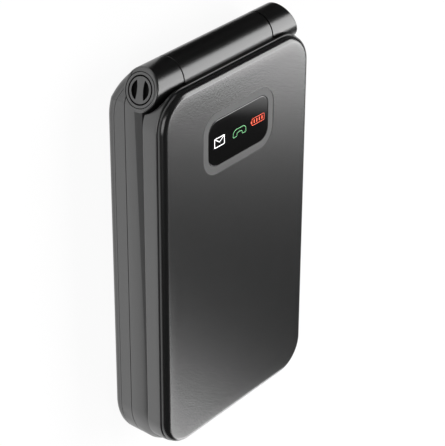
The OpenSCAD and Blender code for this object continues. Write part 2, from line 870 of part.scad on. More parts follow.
// Flex cable: a flat tail from the main board and the roll inside the barrel
flex_roll_r = 2.1;
module flex_cable() {
    tail_y0 = hinge_y - ring_out - 4;
    color([0.85, 0.55, 0.15]) {
        block(flex_w, 4.5, pcb_top, flex_z + flex_t, flex_x, tail_y0 - 2);
        translate([flex_x - flex_w / 2, tail_y0 - 1, flex_z])
            cube([flex_w, hinge_y - tail_y0 + 1 - flex_roll_r + 0.8, flex_t]);
        difference() {
            axle(flex_roll_r, -barrel_x / 2, flex_x + flex_w / 2);
            axle(flex_roll_r - 0.6, -far, far);
        }
    }
}

module hinge_shaft() {
    color(steel) difference() {
        union() {
            axle(shaft_head_r, cam_x1 - 0.1, barrel_end_x - 0.2);
            axle(case_cavity_r - fit, cam_x1 - cam_t, cam_x1);
            axle(shaft_r, spring_x0, cam_x1);
        }
        translate([-barrel_x - fit, hinge_y - far, hinge_z + shaft_head_r - 0.8])
            cube([far, 2 * far, far]);
    }
}

// ---- Lid ----

barrel_end_x = 3.6 - barrel_x;

// Plan of the lid, set in by inset
module lid_plan(inset = 0) {
    w = phone_w - 2 * inset;
    l = lid_y1 - lid_y0 - 2 * inset;
    translate([0, (lid_y0 + lid_y1) / 2]) rounded(w, l, lid_corner_r - inset);
}

// One thin layer of the lid's outline
module lid_layer(z, inset) {
    translate([0, 0, z]) linear_extrude(0.01) lid_plan(inset, $fn = 48);
}

// Room for a lid screw and its plug, from the inner face
module lid_screw_room() {
    for (s = [-1, 1], y = lid_screw_ys) {
        post(plug_r + 0.05, 0, lid_seat_z, s * lid_screw_x, y);
        post(lid_screw_r + 0.1, 0, lid_boss_z + 1, s * lid_screw_x, y);
    }
}

plug_r = 1.6;
bumper_w = 5;
bumper_l = 1.6;
bumper_sink = 0.6;
bumper_ys = lid_screw_ys;

module lid_frame() {
    color(charcoal) difference() {
        union() {
            difference() {
                union() {
                    hull() {
                        lid_layer(lid_z0, 0.4);
                        lid_layer(lid_z0 + 0.15, 0.12);
                        lid_layer(lid_z0 + 0.4, 0);
                        lid_layer(lid_seam_z - 1.2, 0);
                        lid_layer(lid_seam_z - 0.01, 0.15);
                    }
                    axle(barrel_r, -barrel_x, barrel_x);
                }
                difference() {
                    translate([0, 0, lid_plate_z]) linear_extrude(lid_t) lid_plan(wall);
                    axle(scoop_wall_r, -half_w, half_w);
                }
                for (s = [-1, 1])
                    mirror([s < 0 ? 1 : 0, 0, 0]) axle(scoop_r, barrel_x, half_w + 1);
            }
            for (s = [-1, 1], y = lid_screw_ys)
                post(lid_boss_r + 0.5, lid_plate_z - 0.1, lid_boss_z, s * lid_screw_x, y);
            for (s = [-1, 1])
                post(1, lid_plate_z - 0.1, lid_pcb_z, s * (window_w / 2 + 2), window_y);
        }
        lid_screw_room();
        pad(display_lens_w + 0.2, display_lens_l + 0.2, 2, 0, lid_z0 + display_lens_t + fit,
            0, display_lens_y);
        block(display_w - 2, display_l - 2, 0, lid_plate_z + 0.1, 0, display_y);
        pad(ear_slot_w, ear_slot_l, 0.59, 0, lid_plate_z + 0.1, 0, earpiece_y);
        for (s = [-1, 1], y = bumper_ys)
            pad(bumper_w, bumper_l, 0.79, 0, lid_z0 + bumper_sink, s * bumper_x, y);
        axle(hinge_bore_r, barrel_end_x, far);
        difference() {
            axle(shaft_head_r + 0.02, -far, barrel_end_x + 0.1);
            translate([-far, hinge_y - far, hinge_z + shaft_head_r - 0.78])
                cube([2 * far, 2 * far, far]);
        }
        translate([-flex_tail_w / 2 - 0.3, hinge_y - scoop_wall_r - 2, flex_tail_z - 0.2])
            cube([flex_tail_w + 0.6, scoop_wall_r + 2 - flex_roll_r, flex_t + 0.4]);
        translate([-flex_tail_w / 2 - 0.3, hinge_y - flex_roll_r - 0.6, hinge_z])
            cube([flex_tail_w + 0.6, 0.6, flex_tail_z + flex_t + 0.2 - hinge_z]);
    }
}

ledge = 1.2;
module lid_cover() {
    steps = 6;
    color(lid_grey) difference() {
        union() {
            difference() {
                hull() for (k = [0:steps])
                    let (a = 90 * k / steps)
                        lid_layer(lid_seam_z + (lid_cover_t - 0.01) * sin(a), lid_edge_r * (1 - cos(a)));
                translate([0, 0, lid_seam_z - 1]) linear_extrude(lid_skin_z - lid_seam_z + 1)
                    lid_plan(wall);
            }
            pad(window_w + 2 * ledge, window_l + 2 * ledge, window_r + ledge,
                lens_z0 - 0.5, lid_skin_z + 0.1, 0, window_y);
            for (s = [-1, 1], y = lid_screw_ys)
                post(lid_boss_r, lid_boss_z, lid_skin_z + 0.1, s * lid_screw_x, y);
        }
        pad(window_w + 2 * fit, window_l + 2 * fit, window_r, lens_z0, lid_z1 + 1, 0, window_y);
        pad(window_w - 2 * ledge, window_l - 2 * ledge, window_r - ledge / 2, 0, lid_z1, 0, window_y);
        pad(window_w + 2 * bezel_w, window_l + 2 * bezel_w, window_r + bezel_w,
            lid_z1 - bezel_d, lid_z1 + 1, 0, window_y);
        for (s = [-1, 1], y = lid_screw_ys)
            post(lid_screw_r + 0.02, 0, lid_skin_z - 0.2, s * lid_screw_x, y);
    }
}

module window_lens() {
    color(gloss_black) pad(window_w, window_l, window_r, lens_z0, lens_z1, 0, window_y);
}

mask_w = window_w - 2 * ledge - 0.4;
mask_l = window_l - 2 * ledge - 0.4;
icon_pitch = 7.1;
module icon_mask() {
    color([0.85, 0.85, 0.85]) difference() {
        pad(mask_w, mask_l, window_r - ledge / 2 - 0.2, led_z + 0.1, lens_z0 - fit, 0, window_y);
        for (k = [-1:1]) block(icon_pitch - 1.2, mask_l - 3, 0, far, k * icon_pitch, window_y);
    }
}

led_z = lid_pcb_z + lid_pcb_t + 0.4;
flex_tail_w = 8;
flex_tail_z = lid_pcb_z + 0.1;
module lid_pcb() {
    w = 2 * (lid_screw_x - lid_boss_r - 1);
    y0 = display_y + display_l / 2 + 1.5;
    y1 = hinge_y - scoop_wall_r - 0.6;
    color(board_green) {
        block(w, y1 - y0, lid_pcb_z, lid_pcb_z + lid_pcb_t, 0, (y0 + y1) / 2);
        for (k = [-1:1])
            block(2, 1.4, lid_pcb_z + 0.1, led_z, k * icon_pitch, window_y);
        translate([-flex_tail_w / 2, y1 - 1, flex_tail_z])
            cube([flex_tail_w, hinge_y - flex_roll_r - 0.2 - y1 + 1, flex_t]);
        translate([-flex_tail_w / 2, hinge_y - flex_roll_r - 0.4, hinge_z])
            cube([flex_tail_w, flex_t, flex_tail_z + flex_t - hinge_z]);
    }
}

module main_display() {
    color([0.12, 0.13, 0.16]) block(display_w, display_l, lid_plate_z, display_z1, 0, display_y);
}

module display_lens() {
    color(gloss_black) difference() {
        pad(display_lens_w, display_lens_l, 2, lid_z0 + fit, lid_z0 + display_lens_t + fit,
            0, display_lens_y);
        pad(ear_slot_w, ear_slot_l, 0.59, 0, far, 0, earpiece_y);
    }
}

// Sheet-metal tray that holds the display against the lid's inner plate
module display_bracket() {
    skin = 0.25;
    gap = 0.1;
    color(steel) difference() {
        block(display_w + 2 * (gap + skin), display_l + 2 * (gap + skin),
            lid_plate_z, display_z1 + gap + skin, 0, display_y);
        block(display_w + 2 * gap, display_l + 2 * gap, 0, display_z1 + gap, 0, display_y);
        for (s = [-1, 1])
            block(display_w / 3, display_l / 3, 0, far, s * display_w / 4, display_y + s * display_l / 4);
    }
}

module earpiece() {
    h = 2.2;
    color(steel) difference() {
        pad(earpiece_w, earpiece_l, 1.5, lid_plate_z, lid_plate_z + h, 0, earpiece_y);
        pad(ear_slot_w, ear_slot_l, 0.59, 0, lid_plate_z + 0.6, 0, earpiece_y);
    }
}

module closing_magnet() {
    color(steel) block(5, 3, lid_plate_z, lid_plate_z + 1.5, lid_screw_x / 2 + 2, earpiece_y - 1);
}

module lid_screws() {
    color(steel) for (s = [-1, 1], y = lid_screw_ys)
        difference() {
            union() {
                post(plug_r - 0.25, lid_seat_z - 0.6, lid_seat_z, s * lid_screw_x, y);
                post(lid_screw_r, lid_seat_z - 0.1, lid_skin_z - 0.5, s * lid_screw_x, y);
            }
            block(1.8, 0.35, 0, lid_seat_z - 0.35, s * lid_screw_x, y);
            block(0.35, 1.8, 0, lid_seat_z - 0.35, s * lid_screw_x, y);
        }
}

module screw_plugs() {
    color(rubber_black) for (s = [-1, 1], y = lid_screw_ys)
        post(plug_r, lid_z0 + 0.02, lid_seat_z - 0.65, s * lid_screw_x, y);
}

module rubber_bumpers() {
    color(rubber_black) for (s = [-1, 1], y = bumper_ys)
        pad(bumper_w - 0.02, bumper_l - 0.02, 0.78, base_t + 0.03, lid_z0 + bumper_sink,
            s * bumper_x, y);
}

// ---- Side key ----

module volume_rocker() {
    depth = wall + 1;
    color(key_grey) {
        translate([half_w + rocker_proud, rocker_y, rocker_z]) rotate([0, -90, 0])
            linear_extrude(depth) rounded(rocker_h, rocker_l, 0.8);
        block(0.8, rocker_l + 2 * rocker_lip, rocker_z - rocker_h / 2 - 0.4, rocker_z + rocker_h / 2 + 0.4,
            half_w + rocker_proud - depth, rocker_y);
    }
}

battery_cover();
rear_housing();
front_housing();
keypad_membrane();
dome_sheet();
main_pcb();
shield_cans();
battery();
battery_contacts();
sim_holder();
memory_card_holder();
loudspeaker();
microphone();
usb_port();
headphone_jack();
camera_module();
camera_window();
vibration_motor();
antenna();
base_screws();
hinge_cap_left();
hinge_cap_right();
hinge_case();
hinge_spring();
hinge_follower();
hinge_bush();
flex_cable();
lid_frame();
lid_cover();
window_lens();
icon_mask();
lid_pcb();
main_display();
display_lens();
display_bracket();
earpiece();
closing_magnet();
lid_screws();
screw_plugs();
rubber_bumpers();
hinge_shaft();
key_1();
key_2();
key_3();
key_4();
key_5();
key_6();
key_7();
key_8();
key_9();
key_star();
key_0();
key_hash();
key_soft_left();
key_soft_right();
key_call();
key_end();
nav_ring();
key_ok();
volume_rocker();
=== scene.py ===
import math

import bpy
from mathutils import Matrix, Vector


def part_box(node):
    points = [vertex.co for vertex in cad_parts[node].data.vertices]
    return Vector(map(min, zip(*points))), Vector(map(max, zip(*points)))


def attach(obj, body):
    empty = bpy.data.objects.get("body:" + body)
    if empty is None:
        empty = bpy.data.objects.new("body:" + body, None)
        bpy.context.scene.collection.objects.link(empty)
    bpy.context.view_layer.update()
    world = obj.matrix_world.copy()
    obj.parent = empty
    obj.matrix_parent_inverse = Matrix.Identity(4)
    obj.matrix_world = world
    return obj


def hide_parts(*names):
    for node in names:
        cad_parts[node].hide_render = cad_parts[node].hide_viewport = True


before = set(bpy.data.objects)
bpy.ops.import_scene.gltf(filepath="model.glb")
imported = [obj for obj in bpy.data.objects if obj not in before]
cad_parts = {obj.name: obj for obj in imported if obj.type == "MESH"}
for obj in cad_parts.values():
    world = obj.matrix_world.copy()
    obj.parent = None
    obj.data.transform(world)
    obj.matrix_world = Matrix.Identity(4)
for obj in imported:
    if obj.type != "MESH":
        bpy.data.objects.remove(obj)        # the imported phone: closed, on its back, hinge towards +Y
for startObject in ("Cube", "Light", "Camera"):
    if startObject in bpy.data.objects:
        bpy.data.objects.remove(bpy.data.objects[startObject])
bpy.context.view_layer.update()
mm = 0.001

# Sizes that several pieces share, in mm
body = dict(halfWidth=27.0, endY=53.1, baseTop=10.8, backSeam=2.75, midSeam=6.05, wall=1.4,
            cornerRound=14.0, backRound=2.2, backRoundTop=6.7, chamferHeight=1.9, chamferIn=0.7,
            arcRadius=16.0)
hinge = dict(y=48.2, z=9.5, radius=4.9, endX=25.45, lean=21.7, seamX=16.2, bore=3.65)
lid = dict(y0=-48.8, y1=48.07, bottom=11.2, top=17.4, seam=15.57, halfSeam=0.07, corner=8.7, skin=1.3)
window = dict(width=21.95, length=12.0, corner=3.05, y=30.46, ring=1.9, ringDepth=0.1)
keypad = dict(keyWidth=13.0, keyLength=9.8, keyRound=1.8, web=1.2, firstRow=-37.6, sideX=16.8,
              sideY=6.0, sideWidth=7.8, sideLength=10.5, ringY=13.6, ringRadius=11.5,
              centreRadius=5.2, gap=0.15, proud=0.1, flangeZ=9.0)
seamGap = 0.05           # half the width of a seam between two shells
inkHeight = 0.012
slack = 0.01             # how near to a level an edge counts as lying on it
far = 80.0               # beyond every piece, for cutting tools


# Steps of modelling by hand
def clearSelection():
    if bpy.context.object and bpy.context.object.mode != "OBJECT":
        bpy.ops.object.mode_set(mode="OBJECT")
    bpy.ops.object.select_all(action="DESELECT")


def pick(piece):
    clearSelection()
    piece.select_set(True)
    bpy.context.view_layer.objects.active = piece
    return piece


def named(name):
    piece = bpy.context.object
    piece.name = name
    piece.data.name = name
    return piece


def editAll():
    bpy.ops.object.mode_set(mode="EDIT")
    bpy.ops.mesh.select_all(action="SELECT")


def leaveEdit():
    bpy.ops.object.mode_set(mode="OBJECT")


def settle():                            # puts the picked piece's place into its mesh
    bpy.ops.object.transform_apply(location=True, rotation=True, scale=True)


def faceOut():                           # in edit mode, turns all faces outwards
    bpy.ops.mesh.select_all(action="SELECT")
    bpy.ops.mesh.normals_make_consistent(inside=False)


# The three drawing planes: plan is drawn as (X, Y), side as (Y, Z) and end as (X, Z)
turnAxis = dict(plan=(0, 0, 1), side=(1, 0, 0), end=(0, -1, 0))


def place(plane, a, b, depth=0.0):       # a point of a flat drawing, in metres
    spots = dict(plan=(a, b, depth), side=(depth, a, b), end=(a, depth, b))
    return Vector(spots[plane]) * mm


# Draws a closed outline from its first point. A move is the next point, or an arc as
# (centre, degrees, steps).
def drawn(name, plane, depth, moves):
    clearSelection()
    start = place(plane, *moves[0], depth)
    axis = turnAxis[plane]
    bpy.ops.mesh.primitive_plane_add(size=mm, location=start)
    piece = named(name)
    editAll()
    bpy.ops.mesh.select_mode(type="VERT")
    bpy.ops.mesh.merge(type="CENTER")
    at = start
    for move in moves[1:]:
        if len(move) == 2:
            target = place(plane, *move, depth)
            bpy.ops.mesh.extrude_region_move(TRANSFORM_OT_translate={"value": target - at})
            at = target
        else:
            centre, degrees, steps = move
            middle = place(plane, *centre, depth)
            turn = math.radians(degrees)
            bpy.ops.mesh.spin(steps=steps, angle=-turn, center=middle, axis=axis)    # it turns the other way
            at = middle + Matrix.Rotation(turn, 3, axis) @ (at - middle)
    bpy.ops.mesh.select_all(action="SELECT")
    bpy.ops.mesh.remove_doubles(threshold=0.002 * mm)
    bpy.ops.mesh.edge_face_add()
    leaveEdit()
    settle()
    return piece


# A drawn outline made solid from low to high, along the axis that its plane leaves out
def prism(name, plane, low, high, moves):
    piece = pick(drawn(name, plane, low, moves))
    editAll()
    bpy.ops.mesh.extrude_region_move(TRANSFORM_OT_translate={"value": place(plane, 0, 0, high - low)})
    faceOut()
    leaveEdit()
    return piece


def cornerMoves(w, l, r, x=0.0, y=0.0, steps=12):
    a, b = w / 2, l / 2
    return [(x - a + r, y - b), (x + a - r, y - b), ((x + a - r, y - b + r), 90, steps),
            (x + a, y + b - r), ((x + a - r, y + b - r), 90, steps),
            (x - a + r, y + b), ((x - a + r, y + b - r), 90, steps),
            (x - a, y - b + r), ((x - a + r, y - b + r), 90, steps)]


def pad(name, w, l, r, z0, z1, x=0.0, y=0.0, steps=12):
    return prism(name, "plan", z0, z1, cornerMoves(w, l, r, x, y, steps))


def block(name, low, high):
    clearSelection()
    middle = [(a + b) / 2 * mm for a, b in zip(low, high)]
    bpy.ops.mesh.primitive_cube_add(size=1, location=middle)
    piece = named(name)
    piece.scale = [(b - a) * mm for a, b in zip(low, high)]
    settle()
    return piece


def rod(name, radius, start, end, sides=96):
    clearSelection()
    a, b = Vector(start) * mm, Vector(end) * mm
    bpy.ops.mesh.primitive_cylinder_add(vertices=sides, radius=radius * mm, depth=(b - a).length,
                                        location=(a + b) / 2,
                                        rotation=(b - a).to_track_quat("Z", "Y").to_euler())
    piece = named(name)
    settle()
    return piece


def post(name, radius, x, y, z0, z1, sides=96):
    return rod(name, radius, (x, y, z0), (x, y, z1), sides)


def hingeRod(name, radius, x0, x1, sides=144):      # a rod on the hinge's axis
    return rod(name, radius, (x0, hinge["y"], hinge["z"]), (x1, hinge["y"], hinge["z"]), sides)


def copyOf(piece, name):
    clearSelection()
    twin = piece.copy()
    twin.data = piece.data.copy()
    twin.name = twin.data.name = name
    bpy.context.scene.collection.objects.link(twin)
    return twin


def moved(piece, x, y, z=0.0):
    piece.location = (x * mm, y * mm, z * mm)
    pick(piece)
    settle()
    return piece


def joined(name, pieces):
    pick(pieces[0])
    for piece in pieces[1:]:
        piece.select_set(True)
    if len(pieces) > 1:
        bpy.ops.object.join()
    return named(name)


def applied(piece, kind, **settings):
    pick(piece)
    modifier = piece.modifiers.new(kind.title(), kind)
    for key, value in settings.items():
        setattr(modifier, key, value)
    bpy.ops.object.modifier_apply(modifier=modifier.name)
    return piece


def combined(piece, tools, how):
    for tool in tools if isinstance(tools, list) else [tools]:
        applied(piece, "BOOLEAN", operation=how, solver="MANIFOLD", object=tool)
        bpy.data.objects.remove(tool)
    return piece


def cut(piece, tools):
    return combined(piece, tools, "DIFFERENCE")


def kept(piece, tools):
    return combined(piece, tools, "INTERSECT")


def merged(piece, tools):
    return combined(piece, tools, "UNION")


def chooseNone(piece, kind):
    pick(piece)
    editAll()
    bpy.ops.mesh.select_mode(type=kind)
    bpy.ops.mesh.select_all(action="DESELECT")
    leaveEdit()


# Selects the edges that a test takes, from their two ends in mm and the normals beside them
def chooseEdges(piece, test):
    chooseNone(piece, "EDGE")
    mesh = piece.data
    beside = {}
    for face in mesh.polygons:
        for key in face.edge_keys:
            beside.setdefault(key, []).append(face.normal)
    for edge in mesh.edges:
        a, b = (mesh.vertices[v].co / mm for v in edge.vertices)
        edge.select = bool(test(a, b, beside.get(edge.key, [])))


def sharp(normals, degrees=60):
    return len(normals) == 2 and normals[0].angle(normals[1], 0) > math.radians(degrees)


# Tests of edges: sharp ones that lie above or below a level, and those of them near the middle
def edgesAbove(level=-far, axis=2, degrees=60):
    return lambda a, b, normals: sharp(normals, degrees) and min(a[axis], b[axis]) > level - slack


def edgesBelow(level, axis=2):
    return lambda a, b, normals: sharp(normals) and max(a[axis], b[axis]) < level + slack


def within(test, x, y=far):
    return lambda a, b, normals: test(a, b, normals) and max(abs(a.x), abs(b.x)) < x and max(a.y, b.y) < y


def rounded(piece, width, steps, test):
    chooseEdges(piece, test)
    bpy.ops.object.mode_set(mode="EDIT")
    bpy.ops.mesh.bevel(offset=width * mm, offset_type="OFFSET", segments=steps, profile=0.5,
                       affect="EDGES", clamp_overlap=False)
    leaveEdit()
    return piece


def steppedTop(piece, width, rise):      # insets the flat top and lifts what is inside it
    chooseNone(piece, "FACE")
    for face in piece.data.polygons:
        face.select = face.normal.z > 0.99999
    bpy.ops.object.mode_set(mode="EDIT")
    bpy.ops.mesh.inset(thickness=width * mm, depth=rise * mm, use_even_offset=True)
    leaveEdit()


def welded(piece):       # joins points that lie on each other and turns all faces outwards
    pick(piece)
    editAll()
    bpy.ops.mesh.remove_doubles(threshold=0.0002 * mm)
    faceOut()
    leaveEdit()
    return piece


# Gives a finished piece its finish and its body, and hides the CAD nodes that it stands for.
# The shading is smooth but leaves large flat faces flat.
def finished(piece, look, rider, nodes=(), degrees=32):
    welded(piece)
    bpy.ops.object.shade_smooth_by_angle(angle=math.radians(degrees))
    applied(piece, "WEIGHTED_NORMAL", keep_sharp=True, weight=60)
    piece.data.materials.clear()
    piece.data.materials.append(looks[look])
    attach(piece, rider)
    if nodes:
        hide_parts(*nodes)
    return piece


def inked(piece, look, rider):           # a printed mark or a lit sign
    return finished(piece, look, rider, degrees=60)


# Gives a second finish to the faces that a test takes, from their middle in mm and their normal
def painted(piece, look, test):
    piece.data.materials.append(looks[look])
    for face in piece.data.polygons:
        if test(face.center / mm, face.normal):
            face.material_index = 1


def middleOf(node):                      # middle of a CAD node's box, in mm
    return [(low + high) / 2 / mm for low, high in zip(*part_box(node))]


class Wire:              # a socket that can take part in a sum
    def __init__(self, finish, socket):
        self.finish, self.socket = finish, socket

    def __add__(self, other):
        return self.finish.sum("ADD", self, other)

    def __sub__(self, other):
        return self.finish.sum("SUBTRACT", self, other)

    def __rsub__(self, other):
        return self.finish.sum("SUBTRACT", other, self)

    def __mul__(self, other):
        return self.finish.sum("MULTIPLY", self, other)

    __radd__ = __add__
    __rmul__ = __mul__

    def clamped(self):
        return self.finish.sum("MAXIMUM", self.finish.sum("MINIMUM", self, 1.0), 0.0)


class Finish:
    def __init__(self, name, colour, roughness, metallic=0.0, specular=0.5, coat=0.0):
        self.material = bpy.data.materials.new(name)
        self.material.use_nodes = True
        self.tree = self.material.node_tree
        self.shader = self.tree.nodes["Principled BSDF"]
        self.set("Base Color", (*colour, 1))
        self.set("Roughness", roughness)
        self.set("Metallic", metallic)
        self.set("Specular IOR Level", specular)
        self.set("Coat Weight", coat)
        self.set("Coat Roughness", 0.1)

    def set(self, socket, value):
        if isinstance(value, Wire):
            self.tree.links.new(value.socket, self.shader.inputs[socket])
        else:
            self.shader.inputs[socket].default_value = value

    def show(self, wire):                # sends another shader to the material's output
        self.tree.links.new(wire.socket, self.tree.nodes["Material Output"].inputs[0])

    def node(self, kind, settings=None, inputs=None, out=0):
        made = self.tree.nodes.new(kind)
        for key, value in (settings or {}).items():
            setattr(made, key, value)
        for key, value in (inputs or {}).items():
            if isinstance(value, Wire):
                self.tree.links.new(value.socket, made.inputs[key])
            else:
                made.inputs[key].default_value = value
        return Wire(self, made.outputs[out])

    def sum(self, how, a, b=0.0):
        return self.node("ShaderNodeMath", {"operation": how}, {0: a, 1: b})

    def where(self):
        return self.node("ShaderNodeTexCoord", out="Object")

    def split(self):                     # the three object coordinates, in mm
        parts = [self.node("ShaderNodeSeparateXYZ", {}, {0: self.where()}, out=k) for k in range(3)]
        return [part * (1 / mm) for part in parts]

    def insideOf(self, wire, middle, half):     # 1 where the wire lies within half of the middle
        return self.sum("LESS_THAN", self.sum("ABSOLUTE", wire - middle), half)

    def noise(self, size, detail=3.0, roughness=0.5, at=None):    # size of a spot, in mm
        return self.node("ShaderNodeTexNoise", {}, {
            "Vector": at or self.where(), "Scale": 1 / (size * mm), "Detail": detail,
            "Roughness": roughness})

    def bumps(self, height, depth):      # depth in mm
        return self.node("ShaderNodeBump", {}, {"Height": height, "Distance": depth * mm, "Strength": 1.0})

    def between(self, mask, low, high):  # the first colour where the mask is 0, the second where it is 1
        low, high = (tone if isinstance(tone, Wire) else (*tone, 1) for tone in (low, high))
        return self.node("ShaderNodeMix", {"data_type": "RGBA"}, {0: mask, 6: low, 7: high}, out=2)

    def mottled(self, mask, colour, low, high):
        return self.between(mask, tuple(c * low for c in colour), tuple(min(c * high, 1) for c in colour))


def grey(level):
    return (level, level, level * 1.01)


# Moulded plastic: a fine grain, a slight waviness of the gloss and faint handling marks
def moulded(name, colour, roughness, grain=0.3, depth=0.004, specular=0.5, sway=0.03):
    made = Finish(name, colour, roughness, specular=specular)
    spots = made.noise(grain, 2.0, 0.6)
    cloud = made.noise(9.0)
    made.set("Base Color", made.mottled(cloud, colour, 0.94, 1.06))
    made.set("Roughness", cloud * sway + (roughness - sway / 2))
    made.set("Normal", made.bumps(spots, depth))
    return made.material


# Bare metal: drawn lines along one way, faint stains and fine scratches
def metal(name, colour, roughness, along=(1.0, 1.0, 12.0), depth=0.0008):
    made = Finish(name, colour, roughness, metallic=1.0)
    stretched = made.node("ShaderNodeMapping", {}, {"Vector": made.where(), "Scale": along})
    lines = made.noise(0.9, 4.0, 0.6, stretched)
    made.set("Base Color", made.mottled(made.noise(4.0, 3.0, 0.55), colour, 0.86, 1.08))
    made.set("Roughness", (lines * 0.16 + (roughness - 0.08)).clamped())
    made.set("Normal", made.bumps(lines, depth))
    return made.material


# Rubber: matt, with dust in its grain
def rubbery(name, colour):
    made = Finish(name, colour, 0.72, specular=0.35)
    dust = made.noise(0.35, 5.0, 0.65)
    made.set("Base Color", made.mottled(dust, colour, 0.7, 1.5))
    made.set("Roughness", dust * 0.12 + 0.66)
    made.set("Normal", made.bumps(dust, 0.006))
    return made.material


# Circuit board: solder mask over fine tracks, with bright pads
def boardLook(name):
    made = Finish(name, (0.006, 0.05, 0.024), 0.35, coat=0.3)
    spots = made.node("ShaderNodeTexVoronoi", {"distance": "MANHATTAN"}, {
        "Vector": made.where(), "Scale": 1 / (1.7 * mm)})
    cells = made.node("ShaderNodeTexBrick", {"offset": 0.4}, {
        "Vector": made.where(), "Scale": 1 / (2.1 * mm), "Color1": (1, 1, 1, 1),
        "Color2": (0.75, 0.75, 0.75, 1), "Mortar": (0, 0, 0, 1), "Mortar Size": 0.03}, out=1)
    pads = made.sum("LESS_THAN", spots, 0.13)
    solderMask = made.between(cells, (0.005, 0.045, 0.022), (0.012, 0.085, 0.04))
    made.set("Base Color", made.between(pads, solderMask, (0.8, 0.66, 0.36)))
    made.set("Metallic", pads * 0.9)
    made.set("Roughness", made.noise(3.0) * 0.15 + 0.28)
    made.set("Normal", made.bumps(cells + pads * 0.6, 0.02))
    return made.material


def lit(name, colour, strength):         # a pictogram that glows, a little uneven as over one small lamp
    made = Finish(name, colour, 0.5)
    made.set("Emission Color", made.mottled(made.noise(1.6, 1.0), colour, 0.85, 1.0))
    made.set("Emission Strength", strength)
    return made.material


# Polished black glass over something, which is seen faintly where the mask is 1
def glassOver(name, mask, colour):
    made = Finish(name, grey(0.003), 0.07)
    made.set("Base Color", made.between(mask(made), grey(0.0025), colour))
    made.set("Roughness", made.noise(14.0, 4.0, 0.6) * 0.05 + 0.05)
    return made.material


def displayMask(made):
    x, y, z = made.split()
    return made.insideOf(x, 0.0, 20.2) * made.insideOf(y, -6.8, 27.4)


def lensMask(made):                      # rings of a small lens behind the camera window
    x, y, z = made.split()
    middleX, middleY, middleZ = middleOf("camera_window")
    away = made.sum("SQRT", (x - middleX) * (x - middleX) + (y - middleY) * (y - middleY))
    return made.insideOf(away, 2.0, 0.12) + made.insideOf(away, 3.15, 0.1)


# Woven cloth over a speaker
def clothLook(name):
    made = Finish(name, grey(0.02), 0.7)
    x, y, z = made.split()
    weave = made.sum("SINE", x * 14.0) * made.sum("SINE", y * 14.0)
    made.set("Base Color", made.between(weave * 0.5 + 0.5, grey(0.008), grey(0.05)))
    made.set("Roughness", made.noise(2.0) * 0.1 + 0.62)
    made.set("Normal", made.bumps(weave, 0.03))
    return made.material


# Amber film with copper tracks that run lengthwise
def flexLook(name):
    made = Finish(name, (0.4, 0.16, 0.02), 0.26, coat=0.4)
    x, y, z = made.split()
    tracks = made.sum("SINE", x * 9.0)
    track = made.sum("GREATER_THAN", tracks, 0.2)
    made.set("Base Color", made.between(track, (0.33, 0.13, 0.016), (0.62, 0.28, 0.06)))
    made.set("Metallic", track * 0.6)
    made.set("Roughness", made.noise(2.5) * 0.12 + 0.22)
    made.set("Normal", made.bumps(tracks, 0.006))
    return made.material


# Battery: pale wrap, darker ends and a fold line
def wrapLook(name):
    made = Finish(name, grey(0.5), 0.35)
    x, y, z = made.split()
    dark = 1.0 - made.insideOf(y, middleOf("battery")[1], 24.0) + made.insideOf(x, 12.0, 0.1)
    made.set("Base Color", made.between(dark.clamped(), grey(0.5), grey(0.045)))
    made.set("Roughness", made.noise(6.0, 4.0) * 0.14 + 0.28)
    made.set("Normal", made.bumps(made.noise(2.5, 4.0), 0.01))
    return made.material


